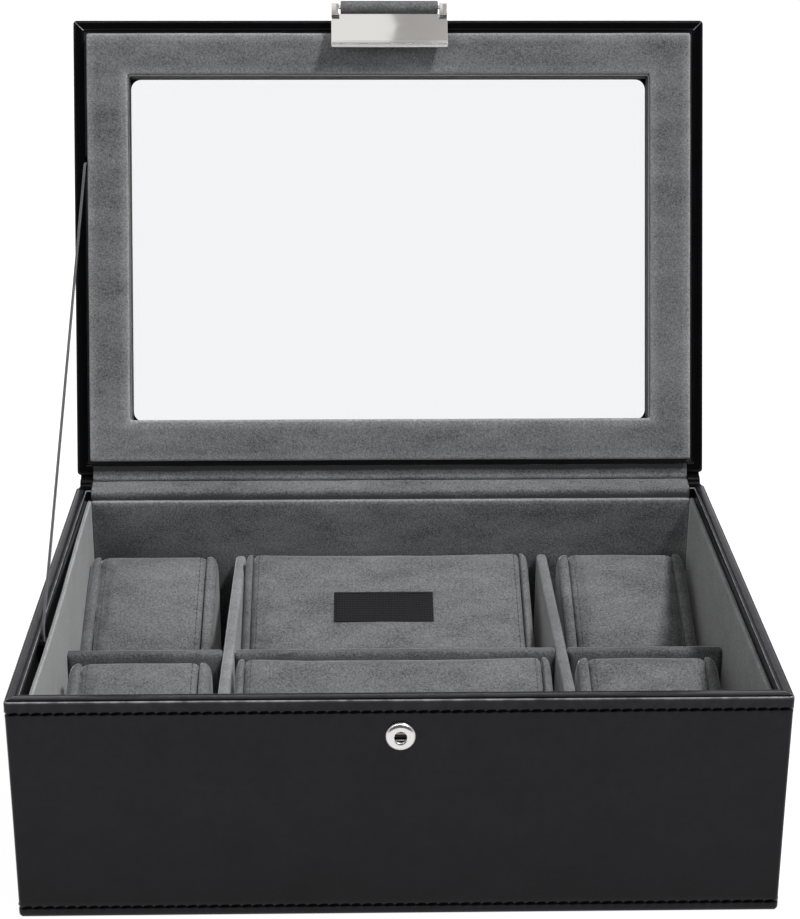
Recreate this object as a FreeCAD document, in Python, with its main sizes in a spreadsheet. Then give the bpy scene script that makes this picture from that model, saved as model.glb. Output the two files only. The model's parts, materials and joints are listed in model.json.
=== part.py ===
import FreeCAD
import Part
import Sketcher
import math
import os
import re

# Leather-covered box with a glazed lid, a velvet-lined tray in six cells, and a
# loose cushion in each cell. Origin at the middle of the underside, X to the
# right, Y to the hinge at the back, Z up, millimetres. The lid stands open.

SIZES = {
    # Overall
    "box_width": 250.0,
    "box_depth": 180.0,
    "base_height": 80.0,
    "lid_height": 18.0,
    "rim_gap": 0.6,  # between the two rims when the lid is shut
    "open_angle": 109.25,
    # Shell of the base
    "leather": 1.0,
    "board": 3.2,
    "underlay": 0.8,
    "wrap_lift": 0.4,  # lower edge of the leather above the table
    "floor_board": 4.0,
    "turn_in": 0.6,  # leather folded down inside the rim
    "turn_in_drop": 8.0,
    "corner_round": 1.5,
    "rim_round": 0.5,
    # Linings and dividers
    "floor_lining": 1.5,
    "lining": 1.6,
    "lining_drop": 4.0,  # from the rim down to the top of the lining
    "divider_height": 46.3,
    "divider_thick": 4.2,
    "cross_thick": 5.0,
    "column_split": 60.0,  # long dividers, from the middle of the box
    "cross_forward": 1.5,  # cross divider, in front of the middle
    "divider_play": 0.2,
    "divider_round": 1.6,
    # Cushions
    "cushion_depth": 62.0,
    "cushion_back": 53.6,
    "cushion_front": 26.0,
    "cushion_play": 3.3,  # at each end of a cushion in a side column
    "wide_play": 2.4,  # at each end of a cushion in the middle column
    "cushion_seat": 0.3,
    "cushion_slide": 3.0,  # how far a cushion can sit forward of its place
    "rear_gap": 6.0,  # behind the rear row, and then behind the front row
    "front_gap": 9.0,
    "cushion_round": 6.0,
    "cushion_foot": 2.5,
    "cushion_crown": 1.5,
    "cushion_draw": 2.6,  # how far the ends of a cushion are drawn in
    "cushion_draw_length": 4.4,
    "cheek": 4.2,
    "wide_cheek": 3.0,
    "cheek_inset": 1.2,
    "cheek_draw": 1.8,
    "label_width": 38.0,
    "label_height": 15.0,
    "label_thick": 0.6,
    "label_set": 35.0,  # from the cushion's upper edge, along its slope
    "label_shift": -1.5,  # to the side of the cushion's middle
    "label_play": 0.1,
    # Lid
    "window_margin": 21.8,  # velvet, in from the lid's sides
    "glass_margin": 21.0,  # rails and leather, in from the lid's sides
    "window_round": 4.0,
    "lid_rim_width": 4.2,
    "panel_margin": 5.6,
    "panel_proud": 3.5,
    "panel_round": 1.0,
    "pane": 2.0,
    "pane_lap": 6.0,
    "pane_play": 0.3,
    # Hinge
    "hinge_offset": 3.0,  # axis behind the back of the box
    "hinge_roll": 2.4,
    "hinge_flap": 0.5,
    "hinge_web": 0.8,
    "hinge_flap_depth": 14.0,
    "hinge_inset": 1.5,
    # Clasp
    "bar_reach": 4.4,  # bar in front of the lid's front face
    "bar_drop": 3.8,  # bar below the lid's rim
    "bar_radius": 0.8,
    "bar_play": 0.08,
    "strap_width": 38.4,
    "strap": 1.2,
    "strap_roll": 2.2,
    "strap_patch": 13.0,
    "strap_rise": 4.0,  # where the strap leaves the lid, above the rim
    "plate_width": 45.6,
    "plate_thick": 1.2,
    "plate_top": 2.8,  # upper edge of the plate below the bar
    "plate_length": 17.0,
    "plate_lip": 1.2,
    "ear_play": 0.6,
    "ear_depth": 1.7,
    "plate_swing": 45.0,  # forward of plumb, lid open
    "stud_drop": 10.2,
    "stud_base": 4.0,
    "stud_post": 1.6,
    "stud_length": 1.8,
    # Snap on the front
    "snap_radius": 5.0,
    "snap_hole": 2.1,
    "snap_height": 1.6,
    "rivet_wall": 0.5,
    "rivet_flange": 4.2,
    "rivet_play": 0.05,
    "spring_wire": 0.3,
    "spring_spread": 1.2,
    # Stay
    "stay_thick": 1.2,
    "stay_reach": 123.4,  # lid end, from the back of the lid
    "stay_forward": 40.0,  # base end, in front of the middle
    "stay_tab": 6.0,
    "stay_play": 0.1,
}

# Places worked out from the sizes
PLACES = {
    "half_width": "box_width / 2",
    "half_depth": "box_depth / 2",
    "board_x": "half_width - leather",
    "board_y": "half_depth - leather",
    "inner_x": "board_x - board",
    "inner_y": "board_y - board",
    "rim_x": "inner_x - turn_in",
    "rim_y": "inner_y - turn_in",
    "room_x": "rim_x - lining",
    "room_y": "rim_y - lining",
    "wall_top": "base_height - leather",
    "turn_in_foot": "wall_top - turn_in_drop",
    "floor_low": "underlay + floor_board",
    "floor_top": "floor_low + floor_lining",
    "lining_top": "base_height - lining_drop",
    "divider_top": "floor_top + divider_height",
    "divider_middle": "floor_top + divider_height / 2",
    "cross_back": "cross_thick / 2 - cross_forward",
    "cross_front": "-cross_thick / 2 - cross_forward",
    "axis_y": "half_depth + hinge_offset",
    "axis_z": "base_height + rim_gap / 2",
    "lid_rim": "rim_gap / 2",
    "lid_top": "lid_rim + lid_height",
    "lid_front": "-hinge_offset - box_depth",
    "rail_foot": "lid_rim + leather",
    "pane_foot": "lid_top - leather - pane",
    "hinge_half": "half_width - hinge_inset",
    "bar_y": "lid_front - bar_reach",
    "bar_z": "lid_rim - bar_drop",
    "snap_z": "axis_z + bar_z - stud_drop",
    "bar_world_y": "axis_y + bar_y * cos(open_angle * 1 deg) + bar_z * sin(open_angle * 1 deg)",
    "bar_world_z": "axis_z - bar_y * sin(open_angle * 1 deg) + bar_z * cos(open_angle * 1 deg)",
    "ear_inner": "strap_width / 2 + ear_play",
    "plate_half": "plate_width / 2",
    "rivet_radius": "snap_hole + rivet_wall",
    "stay_groove": "half_width - lid_rim_width",
    "panel_x": "half_width - panel_margin",
}

# Cell of each cushion: column, row, and the shares of its play to the right and forward
CUSHIONS = {
    "cushion_rear_left": ("left", "rear", -0.88, 0.6),
    "cushion_rear_centre": ("centre", "rear", -0.85, 0.0),
    "cushion_rear_right": ("right", "rear", -0.1, 0.6),
    "cushion_front_left": ("left", "front", 0.2, 0.8),
    "cushion_front_centre": ("centre", "front", -0.4, 0.0),
    "cushion_front_right": ("right", "front", -0.6, 0.3),
}
LABELLED = "cushion_rear_centre"

# Degrees round the drawn-in end of a cushion, and the crown's share at its ends and quarters
END_TURN = (90, 65, 40, 20, 0)
CHEEK_TURN = (-90, -60, -30, 0, 30, 60, 90)
END_CROWN = 0.5
QUARTER_CROWN = 0.9

# Taut stay from the lid's groove to the top of the left lining, point by point
STAY_ROUTE = [
    (-120.1, 134.86, 199.56),
    (-120.1, 130.89, 200.95),
    (-119.4, -40.0, 80.3),
    (-119.4, -40.0, 76.1),
]

doc = FreeCAD.newDocument("watch_box")
sheet = doc.addObject("Spreadsheet::Sheet", "Dims")
for row, (size_name, size) in enumerate(SIZES.items(), 1):
    sheet.set(f"A{row}", size_name)
    sheet.set(f"B{row}", str(size))
    sheet.setAlias(f"B{row}", size_name)
doc.recompute()

pieces = {}


def formula(text):
    def swap(found):
        word = found.group()
        if word in SIZES:
            return "Dims." + word
        if word in PLACES:
            return "(" + formula(PLACES[word]) + ")"
        return word

    return re.sub(r"[a-z][a-z_]+", swap, text)


def value(text):
    return float(sheet.evalExpression(formula(text)))


def bind(thing, links):
    for prop, text in links.items():
        thing.setExpression(prop, formula(text))


def seat(thing, x="0", y="0", z="0", tilt="0", about=(1, 0, 0)):
    turn = FreeCAD.Rotation(FreeCAD.Vector(*about), value(tilt))
    thing.Placement = FreeCAD.Placement(FreeCAD.Vector(value(x), value(y), value(z)), turn)
    bind(thing, {"Placement.Base.x": x, "Placement.Base.y": y, "Placement.Base.z": z})
    if tilt != "0":
        bind(thing, {"Placement.Rotation.Angle": tilt})


def seat_on_lid(thing):
    seat(thing, y="axis_y", z="axis_z", tilt="-open_angle")


def seat_on_bar(thing):
    seat(thing, y="bar_world_y", z="bar_world_z", tilt="-plate_swing")


def seat_on_snap(thing):
    seat(thing, y="-half_depth", z="snap_z", tilt="90")


def keep(label, thing):
    thing.Label = label
    pieces[label] = thing
    return thing


def board(label, low, high):
    box = doc.addObject("Part::Box", label)
    bind(box, {
        "Length": f"({high[0]}) - ({low[0]})",
        "Width": f"({high[1]}) - ({low[1]})",
        "Height": f"({high[2]}) - ({low[2]})",
    })
    seat(box, *low)
    return keep(label, box)


def new_body(label):
    return keep(label, doc.addObject("PartDesign::Body", label))


def bind_point(sketch, edge, place):
    for kind, text in zip(("DistanceX", "DistanceY"), place):
        spot = sketch.addConstraint(Sketcher.Constraint(kind, -1, 1, edge, 1, value(text)))
        sketch.setExpression(f"Constraints[{spot}]", formula(text))


def draw_polygon(sketch, corners):
    first = sketch.GeometryCount
    spots = [FreeCAD.Vector(value(a), value(b), 0) for a, b in corners]
    count = len(corners)
    for i in range(count):
        sketch.addGeometry(Part.LineSegment(spots[i], spots[(i + 1) % count]))
    for i in range(count):
        sketch.addConstraint(Sketcher.Constraint("Coincident", first + i, 2, first + (i + 1) % count, 1))
    for i, corner in enumerate(corners):
        bind_point(sketch, first + i, corner)


def draw_circle(sketch, centre, radius):
    middle = FreeCAD.Vector(value(centre[0]), value(centre[1]), 0)
    edge = sketch.addGeometry(Part.Circle(middle, FreeCAD.Vector(0, 0, 1), value(radius)))
    for kind, text in zip(("DistanceX", "DistanceY"), centre):
        spot = sketch.addConstraint(Sketcher.Constraint(kind, -1, 1, edge, 3, value(text)))
        sketch.setExpression(f"Constraints[{spot}]", formula(text))
    spot = sketch.addConstraint(Sketcher.Constraint("Radius", edge, value(radius)))
    sketch.setExpression(f"Constraints[{spot}]", formula(radius))


def new_sketch(body, plane, offset="0"):
    sketch = body.newObject("Sketcher::SketchObject", "outline")
    support = next(f for f in body.Origin.OriginFeatures if f.Role == plane)
    sketch.AttachmentSupport = [(support, "")]
    sketch.MapMode = "FlatFace"
    bind(sketch, {"AttachmentOffset.Base.z": offset})
    return sketch


def pad(body, plane, loops, low, high):
    sketch = new_sketch(body, plane, low)
    for loop in loops:
        draw_polygon(sketch, loop)
    return pad_sketch(body, sketch, f"({high}) - ({low})")


def pad_sketch(body, sketch, length):
    feature = body.newObject("PartDesign::Pad", "pad")
    feature.Profile = sketch
    bind(feature, {"Length": length})
    return feature


def bore(body, plane, centre, radius, low, high):
    sketch = new_sketch(body, plane, high)
    draw_circle(sketch, centre, radius)
    doc.recompute()
    feature = body.newObject("PartDesign::Pocket", "bore")
    feature.Profile = sketch
    bind(feature, {"Length": f"({high}) - ({low})"})
    return feature


def turned(label, profile):
    body = new_body(label)
    sketch = new_sketch(body, "XZ_Plane")
    draw_polygon(sketch, profile)
    feature = body.newObject("PartDesign::Revolution", "turn")
    feature.Profile = sketch
    feature.ReferenceAxis = (sketch, ["V_Axis"])
    feature.Angle = 360
    return body


def round_edges(body, radius, wanted):
    doc.recompute()
    tip = body.Tip
    names = [f"Edge{i}" for i, edge in enumerate(tip.Shape.Edges, 1) if wanted(edge)]
    feature = body.newObject("PartDesign::Fillet", "rounding")
    feature.Base = (tip, names)
    bind(feature, {"Radius": radius})
    return feature


def near(a, b):
    return abs(a - b) < 0.01


def upright(edge):
    box = edge.BoundBox
    return near(box.XLength, 0) and near(box.YLength, 0)


def level_at(edge, height):
    box = edge.BoundBox
    return near(box.ZMin, height) and near(box.ZMax, height)


def cut(label, base, tool):
    thing = doc.addObject("Part::Cut", label)
    thing.Base = base
    thing.Tool = tool
    return keep(label, thing)


def rectangle(x, y_back, y_front):
    return [(f"-({x})", y_front), (x, y_front), (x, y_back), (f"-({x})", y_back)]


# Shell of the base: floor, walls, underside sheet
def make_base_boards():
    board("base_underlay", ("-board_x", "-board_y", "0"), ("board_x", "board_y", "underlay"))
    board("base_floor", ("-inner_x", "-inner_y", "underlay"), ("inner_x", "inner_y", "floor_low"))
    board("base_back_wall", ("-board_x", "inner_y", "underlay"), ("board_x", "board_y", "wall_top"))
    board("base_left_wall", ("-board_x", "-inner_y", "underlay"), ("-inner_x", "inner_y", "wall_top"))
    board("base_right_wall", ("inner_x", "-inner_y", "underlay"), ("board_x", "inner_y", "wall_top"))
    front = board("front_blank", ("-board_x", "-board_y", "underlay"), ("board_x", "-inner_y", "wall_top"))
    cut("base_front_wall", front, rivet_hole("front_hole"))
    del pieces["front_blank"]


# Round hole through the leather and the front wall for the snap's rivet
def rivet_hole(name):
    hole = doc.addObject("Part::Cylinder", name)
    bind(hole, {"Radius": "rivet_radius + rivet_play", "Height": "leather + board"})
    seat(hole, y="-inner_y", z="snap_z", tilt="90")
    return hole


# Leather round the base, over the rim on three sides and turned in behind the lining
def make_base_wrap():
    body = new_body("wrap_blank")
    outside = rectangle("half_width", "half_depth", "-half_depth")
    pad(body, "XY_Plane", [outside, rectangle("board_x", "board_y", "-board_y")], "wrap_lift", "wall_top")
    rim = [
        ("half_width", "half_depth"), ("room_x", "half_depth"), ("room_x", "rim_y"), ("rim_x", "rim_y"),
        ("rim_x", "-rim_y"), ("-rim_x", "-rim_y"), ("-rim_x", "rim_y"), ("-room_x", "rim_y"),
        ("-room_x", "half_depth"), ("-half_width", "half_depth"), ("-half_width", "-half_depth"),
        ("half_width", "-half_depth"),
    ]
    pad(body, "XY_Plane", [rim], "wall_top", "base_height")
    fold = [
        ("inner_x", "rim_y"), ("rim_x", "rim_y"), ("rim_x", "-rim_y"), ("-rim_x", "-rim_y"),
        ("-rim_x", "rim_y"), ("-inner_x", "rim_y"), ("-inner_x", "-inner_y"), ("inner_x", "-inner_y"),
    ]
    pad(body, "XY_Plane", [fold], "turn_in_foot", "wall_top")
    half_width, half_depth, top = value("half_width"), value("half_depth"), value("base_height")

    def outer_corner(edge):
        spot = edge.CenterOfMass
        return upright(edge) and near(abs(spot.x), half_width) and near(abs(spot.y), half_depth)

    def outer_rim(edge):
        spot = edge.CenterOfMass
        side = near(abs(spot.x), half_width)
        front = near(spot.y, -half_depth)
        return level_at(edge, top) and (side or front)

    round_edges(body, "corner_round", outer_corner)
    round_edges(body, "rim_round", outer_rim)
    cut("base_wrap", body, rivet_hole("wrap_hole"))
    del pieces["wrap_blank"]


# Velvet over the back rim, in line with the lining below it
def make_hinge_linings():
    base = new_body("hinge_lining_base")
    fold = [
        ("rim_y", "turn_in_foot"), ("inner_y", "turn_in_foot"), ("inner_y", "wall_top"),
        ("half_depth", "wall_top"), ("half_depth", "base_height"), ("rim_y", "base_height"),
    ]
    pad(base, "YZ_Plane", [fold], "-room_x", "room_x")
    lid = new_body("hinge_lining_lid")
    strip = [
        ("-hinge_offset", "lid_rim"), ("-hinge_offset", "rail_foot"),
        ("-hinge_offset - lid_rim_width", "rail_foot"), ("-hinge_offset - lid_rim_width", "lid_rim"),
    ]
    pad(lid, "YZ_Plane", [strip], "-room_x", "room_x")
    seat_on_lid(lid)


# Leather roll on the hinge axis with its flap on the back of the base, and the lid's flap
def make_hinge():
    spine = new_body("hinge_spine")
    flap = [
        ("half_depth", "base_height - hinge_flap_depth"),
        ("half_depth + hinge_web", "base_height - hinge_flap_depth"),
        ("half_depth + hinge_web", "axis_z"), ("half_depth", "axis_z"),
    ]
    pad(spine, "YZ_Plane", [flap], "-hinge_half", "hinge_half")
    sketch = new_sketch(spine, "YZ_Plane", "-hinge_half")
    draw_circle(sketch, ("axis_y", "axis_z"), "hinge_roll")
    pad_sketch(spine, sketch, "2 * hinge_half")
    leaf = new_body("hinge_leaf")
    strip = [
        ("-hinge_offset", "lid_rim"), ("hinge_flap - hinge_offset", "lid_rim"),
        ("hinge_flap - hinge_offset", "lid_rim + hinge_flap_depth"),
        ("-hinge_offset", "lid_rim + hinge_flap_depth"),
    ]
    pad(leaf, "YZ_Plane", [strip], "-hinge_half", "hinge_half")
    seat_on_lid(leaf)


# Velvet-covered card on the floor and the walls; the left one is notched for the stay
def make_linings():
    board("lining_floor", ("-inner_x", "-inner_y", "floor_low"), ("inner_x", "inner_y", "floor_top"))
    board("lining_front", ("-room_x", "-rim_y", "floor_top"), ("room_x", "-room_y", "lining_top"))
    board("lining_back", ("-room_x", "room_y", "floor_top"), ("room_x", "rim_y", "lining_top"))
    board("lining_right", ("room_x", "-rim_y", "floor_top"), ("rim_x", "rim_y", "lining_top"))
    notch_foot = "lining_top - stay_tab - stay_play"
    notch_back = "-stay_forward + stay_tab / 2 + stay_play"
    notch_front = "-stay_forward - stay_tab / 2 - stay_play"
    left = [
        ("-rim_y", "floor_top"), ("rim_y", "floor_top"), ("rim_y", "lining_top"),
        (notch_back, "lining_top"), (notch_back, notch_foot),
        (notch_front, notch_foot), (notch_front, "lining_top"), ("-rim_y", "lining_top"),
    ]
    pad(new_body("lining_left"), "YZ_Plane", [left], "-rim_x", "-room_x")


# Two long dividers and the cross divider, halved into each other
def make_dividers():
    top = value("divider_top")
    end = "room_y - divider_play"
    slot_back = "cross_back + divider_play"
    slot_front = "cross_front - divider_play"
    long_side = [
        (f"-({end})", "floor_top"), (slot_front, "floor_top"), (slot_front, "divider_middle"),
        (slot_back, "divider_middle"), (slot_back, "floor_top"), (end, "floor_top"),
        (end, "divider_top"), (f"-({end})", "divider_top"),
    ]

    def long_top(edge):
        return level_at(edge, top) and edge.BoundBox.YLength > edge.BoundBox.XLength

    for label, middle in (("divider_left", "-column_split"), ("divider_right", "column_split")):
        body = new_body(label)
        low, high = f"{middle} - divider_thick / 2", f"{middle} + divider_thick / 2"
        pad(body, "YZ_Plane", [long_side], low, high)
        round_edges(body, "divider_round", long_top)

    reach = "room_x - divider_play"
    inner = "column_split - divider_thick / 2 - divider_play"
    outer = "column_split + divider_thick / 2 + divider_play"
    slot_foot = "divider_middle - divider_play"
    cross_side = [
        (f"-({reach})", "floor_top"), (reach, "floor_top"), (reach, "divider_top"), (outer, "divider_top"),
        (outer, slot_foot), (inner, slot_foot), (inner, "divider_top"), (f"-({inner})", "divider_top"),
        (f"-({inner})", slot_foot), (f"-({outer})", slot_foot), (f"-({outer})", "divider_top"),
        (f"-({reach})", "divider_top"),
    ]
    cross = new_body("divider_cross")
    pad(cross, "XZ_Plane", [cross_side], "-(cross_back)", "-(cross_front)")

    def cross_top(edge):
        return level_at(edge, top) and edge.BoundBox.XLength > edge.BoundBox.YLength

    round_edges(cross, "divider_round", cross_top)


# Closed outline in a plane across X: straight and bowed sides, each corner an arc
def soft_outline(x, corners, radii, bows):
    count = len(corners)
    starts, ends, arcs = [], [], []
    for i in range(count):
        here = FreeCAD.Vector(x, *corners[i])
        before = (FreeCAD.Vector(x, *corners[i - 1]) - here).normalize()
        after = (FreeCAD.Vector(x, *corners[(i + 1) % count]) - here).normalize()
        half = before.getAngle(after) / 2
        reach = radii[i] / math.tan(half)
        inward = (before + after).normalize()
        middle = here + inward * (radii[i] / math.sin(half) - radii[i])
        starts.append(here + after * reach)
        ends.append(here + before * reach)
        arcs.append(Part.Arc(here + before * reach, middle, here + after * reach).toShape())
    edges = []
    for i in range(count):
        first, last = starts[i], ends[(i + 1) % count]
        edges.append(arcs[i])
        if bows[i]:
            along = (last - first).normalize()
            out = FreeCAD.Vector(1, 0, 0).cross(along) * -1
            bowed = (first + last) * 0.5 + out * bows[i]
            edges.append(Part.Arc(first, bowed, last).toShape())
        else:
            edges.append(Part.makeLine(first, last))
    return Part.Wire(edges)


# Sloping cushion section, drawn in from the full one by an inset
def cushion_section(x, back, inset, crown_share):
    foot = value("floor_top + cushion_seat")
    front = back - value("cushion_depth")
    corners = [
        (front + inset, foot),
        (back - inset, foot),
        (back - inset, foot + value("cushion_back") - inset),
        (front + inset, foot + value("cushion_front") - inset),
    ]
    low, high = value("cushion_foot"), value("cushion_round")
    crown = value("cushion_crown") * crown_share
    return soft_outline(x, corners, [low, low, high, high], [0, 0, crown, 0])


def column_ends(column):
    split, half = value("column_split"), value("divider_thick / 2")
    room = value("room_x")
    if column == "left":
        return -room, -split - half
    if column == "right":
        return split + half, room
    return -split + half, split - half


def cushion_place(label):
    column, row, lean, forward = CUSHIONS[label]
    low, high = column_ends(column)
    play = value("wide_play" if column == "centre" else "cushion_play")
    middle = (low + high) / 2 + lean * play
    back = value("room_y - rear_gap" if row == "rear" else "cross_front - front_gap")
    return middle, (high - low) / 2 - play, back - forward * value("cushion_slide")


# Cushion: crowned middle with drawn-in ends, and a rounded cheek sewn on each end
def make_cushion(label):
    middle, half, back = cushion_place(label)
    cheek = value("wide_cheek" if CUSHIONS[label][0] == "centre" else "cheek")
    body_half = half - cheek
    draw, draw_length = value("cushion_draw"), value("cushion_draw_length")
    left = []
    for degrees in END_TURN:
        turn = math.radians(degrees)
        left.append((-body_half + draw_length * (1 - math.sin(turn)), draw * (1 - math.cos(turn)), END_CROWN))
    left.append((-body_half / 2, 0, QUARTER_CROWN))
    stations = left + [(0, 0, 1)] + [(-x, inset, crown) for x, inset, crown in reversed(left)]
    sections = [cushion_section(middle + x, back, inset, crown) for x, inset, crown in stations]
    body = doc.addObject("Part::Feature", label)
    body.Shape = Part.makeLoft(sections, True, True)
    keep(label, body)
    cheeks = []
    for side in (-1, 1):
        sections = []
        for degrees in CHEEK_TURN:
            turn = math.radians(degrees)
            x = middle + side * (body_half + cheek * (1 + math.sin(turn)) / 2)
            inset = value("cheek_inset") + value("cheek_draw") * (1 - math.cos(turn))
            sections.append(cushion_section(x, back, inset, END_CROWN))
        cheeks.append(Part.makeLoft(sections, True, True))
    ends = doc.addObject("Part::Feature", label + "_cheeks")
    ends.Shape = Part.makeCompound(cheeks)
    keep(label + "_cheeks", ends)


# Plain woven label lying on the slope of one cushion
def make_label():
    middle, half, back = cushion_place(LABELLED)
    fall = value("cushion_back") - value("cushion_front")
    slope = math.atan2(fall, value("cushion_depth"))
    top = value("floor_top + cushion_seat + cushion_back")
    lift = value("cushion_crown + label_play")
    down = value("label_set + label_height / 2")
    label = doc.addObject("Part::Box", "cushion_label")
    bind(label, {"Length": "label_width", "Width": "label_height", "Height": "label_thick"})
    along = FreeCAD.Vector(0, -math.cos(slope), -math.sin(slope))
    out = FreeCAD.Vector(0, -math.sin(slope), math.cos(slope))
    left = middle + value("label_shift - label_width / 2")
    corner = FreeCAD.Vector(left, back, top) + along * down + out * lift
    turn = FreeCAD.Rotation(FreeCAD.Vector(1, 0, 0), math.degrees(slope))
    label.Placement = FreeCAD.Placement(corner, turn)
    keep("cushion_label", label)


# Corner of the lid in plan, in from its outer faces by a margin
def lid_corner(margin, side, end):
    x = f"{side} * (half_width - ({margin}))"
    y = f"lid_front + ({margin})" if end < 0 else f"-hinge_offset - ({margin})"
    return x, y


def lid_frame(margin):
    return [lid_corner(margin, side, end) for side, end in ((-1, -1), (1, -1), (1, 1), (-1, 1))]


# Four mitred rails, rebated above for the pane
def make_lid_rails():
    ring = [(-1, -1), (1, -1), (1, 1), (-1, 1)]
    for i, label in enumerate(("lid_front_rail", "lid_right_rail", "lid_back_rail", "lid_left_rail")):
        first, last = ring[i], ring[(i + 1) % 4]
        body = new_body(label)
        for inside, low, high in (
            ("glass_margin", "rail_foot", "pane_foot"),
            ("glass_margin - pane_lap", "pane_foot", "lid_top - leather"),
        ):
            shape = [
                lid_corner("leather", *first), lid_corner("leather", *last),
                lid_corner(inside, *last), lid_corner(inside, *first),
            ]
            pad(body, "XY_Plane", [shape], low, high)
        seat_on_lid(body)


# Leather round the lid, over its top as far as the window, and over its rim
def make_lid_wrap():
    body = new_body("lid_wrap")
    pad(body, "XY_Plane", [lid_frame("0"), lid_frame("leather")], "rail_foot", "lid_top - leather")
    pad(body, "XY_Plane", [lid_frame("0"), lid_frame("glass_margin")], "lid_top - leather", "lid_top")
    width = "lid_rim_width"
    rim = [
        lid_corner("0", -1, -1), lid_corner("0", 1, -1), lid_corner("0", 1, 1),
        ("room_x", "-hinge_offset"), ("room_x", lid_corner(width, 1, 1)[1]),
        lid_corner(width, 1, 1), lid_corner(width, 1, -1), lid_corner(width, -1, -1),
        lid_corner(width, -1, 1), ("-room_x", lid_corner(width, 1, 1)[1]),
        ("-room_x", "-hinge_offset"), lid_corner("0", -1, 1),
    ]
    pad(body, "XY_Plane", [rim], "lid_rim", "rail_foot")
    half_width, front, back = value("half_width"), value("lid_front"), value("-hinge_offset")
    window, top = value("half_width - glass_margin"), value("lid_top")

    def outer_corner(edge):
        spot = edge.CenterOfMass
        return upright(edge) and near(abs(spot.x), half_width) and (near(spot.y, front) or near(spot.y, back))

    def window_corner(edge):
        return upright(edge) and near(abs(edge.CenterOfMass.x), window)

    def top_edge(edge):
        spot = edge.CenterOfMass
        outside = near(abs(spot.x), half_width) or near(spot.y, front) or near(spot.y, back)
        return level_at(edge, top) and outside

    round_edges(body, "corner_round", outer_corner)
    round_edges(body, "window_round", window_corner)
    round_edges(body, "rim_round", top_edge)
    seat_on_lid(body)


# Velvet panel inside the lid, proud of the rim, and the pane above it
def make_lid_panel():
    body = new_body("lid_lining")
    low = "lid_rim - panel_proud"
    pad(body, "XY_Plane", [lid_frame("panel_margin"), lid_frame("window_margin")], low, "rail_foot")
    face = value(low)
    round_edges(body, "panel_round", lambda edge: level_at(edge, face))
    seat_on_lid(body)
    pane = new_body("window_pane")
    outline = lid_frame("glass_margin - pane_lap + pane_play")
    pad(pane, "XY_Plane", [outline], "pane_foot", "lid_top - leather")
    seat_on_lid(pane)


# Strap on the lid's front, rolled round the clasp's bar
def make_clasp_strap():
    body = new_body("clasp_strap")
    half = "strap_width / 2"
    web = [
        ("lid_front", "lid_rim + strap_rise + strap_patch"),
        ("lid_front - strap", "lid_rim + strap_rise + strap_patch"),
        ("lid_front - strap", "lid_rim + strap_rise"),
        ("bar_y - strap_roll * 0.7", "bar_z + strap_roll * 0.7"),
        ("bar_y", "bar_z"),
        ("bar_y + strap_roll * 0.8", "bar_z + strap_roll * 0.5"),
        ("lid_front", "lid_rim + strap_rise - 2 * strap"),
    ]
    pad(body, "YZ_Plane", [web], f"-{half}", half)
    sketch = new_sketch(body, "YZ_Plane", f"-{half}")
    draw_circle(sketch, ("bar_y", "bar_z"), "strap_roll")
    pad_sketch(body, sketch, "strap_width")
    bore(body, "YZ_Plane", ("bar_y", "bar_z"), "bar_radius + bar_play", f"-{half}", half)
    seat_on_lid(body)


# Plate with a returned lower lip, hung by two ears on its bar, and the stud behind it
def make_clasp():
    body = new_body("clasp_plate")
    face, rear = "-plate_thick / 2", "plate_thick / 2"
    side = [
        (face, "-plate_top"), (rear, "-plate_top"), (rear, "plate_lip - plate_length"),
        (f"{rear} + plate_lip", "plate_lip - plate_length"), (f"{rear} + plate_lip", "-plate_length"),
        (face, "-plate_length"),
    ]
    pad(body, "YZ_Plane", [side], "-plate_half", "plate_half")
    ear = [
        ("-ear_depth", "-plate_top - plate_thick"), ("ear_depth", "-plate_top - plate_thick"),
        ("ear_depth", "ear_depth"), ("-ear_depth", "ear_depth"),
    ]
    for low, high in (("-plate_half", "-ear_inner"), ("ear_inner", "plate_half")):
        pad(body, "YZ_Plane", [ear], low, high)
    crown = value("ear_depth")

    def ear_top(edge):
        return level_at(edge, crown) and edge.BoundBox.XLength > edge.BoundBox.YLength

    round_edges(body, "ear_depth * 0.9", ear_top)
    bore(body, "YZ_Plane", ("0", "0"), "bar_radius", "-plate_half", "plate_half")
    seat_on_bar(body)
    bar = doc.addObject("Part::Cylinder", "clasp_bar")
    bind(bar, {"Radius": "bar_radius", "Height": "plate_width"})
    seat(bar, "-plate_half", "bar_world_y", "bar_world_z", "90", (0, 1, 0))
    keep("clasp_bar", bar)
    stud = turned("clasp_stud", [
        ("0", "0"), ("stud_base", "0"), ("stud_base * 0.8", "stud_length * 0.3"),
        ("stud_post * 0.7", "stud_length * 0.3"), ("stud_post * 0.7", "stud_length * 0.5"),
        ("stud_post", "stud_length * 0.75"), ("stud_post * 0.6", "stud_length"), ("0", "stud_length"),
    ])
    swing = "plate_swing * 1 deg"
    back_y = f"bar_world_y + plate_thick / 2 * cos({swing}) - stud_drop * sin({swing})"
    back_z = f"bar_world_z - plate_thick / 2 * sin({swing}) - stud_drop * cos({swing})"
    seat(stud, y=back_y, z=back_z, tilt="-plate_swing - 90")


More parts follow.
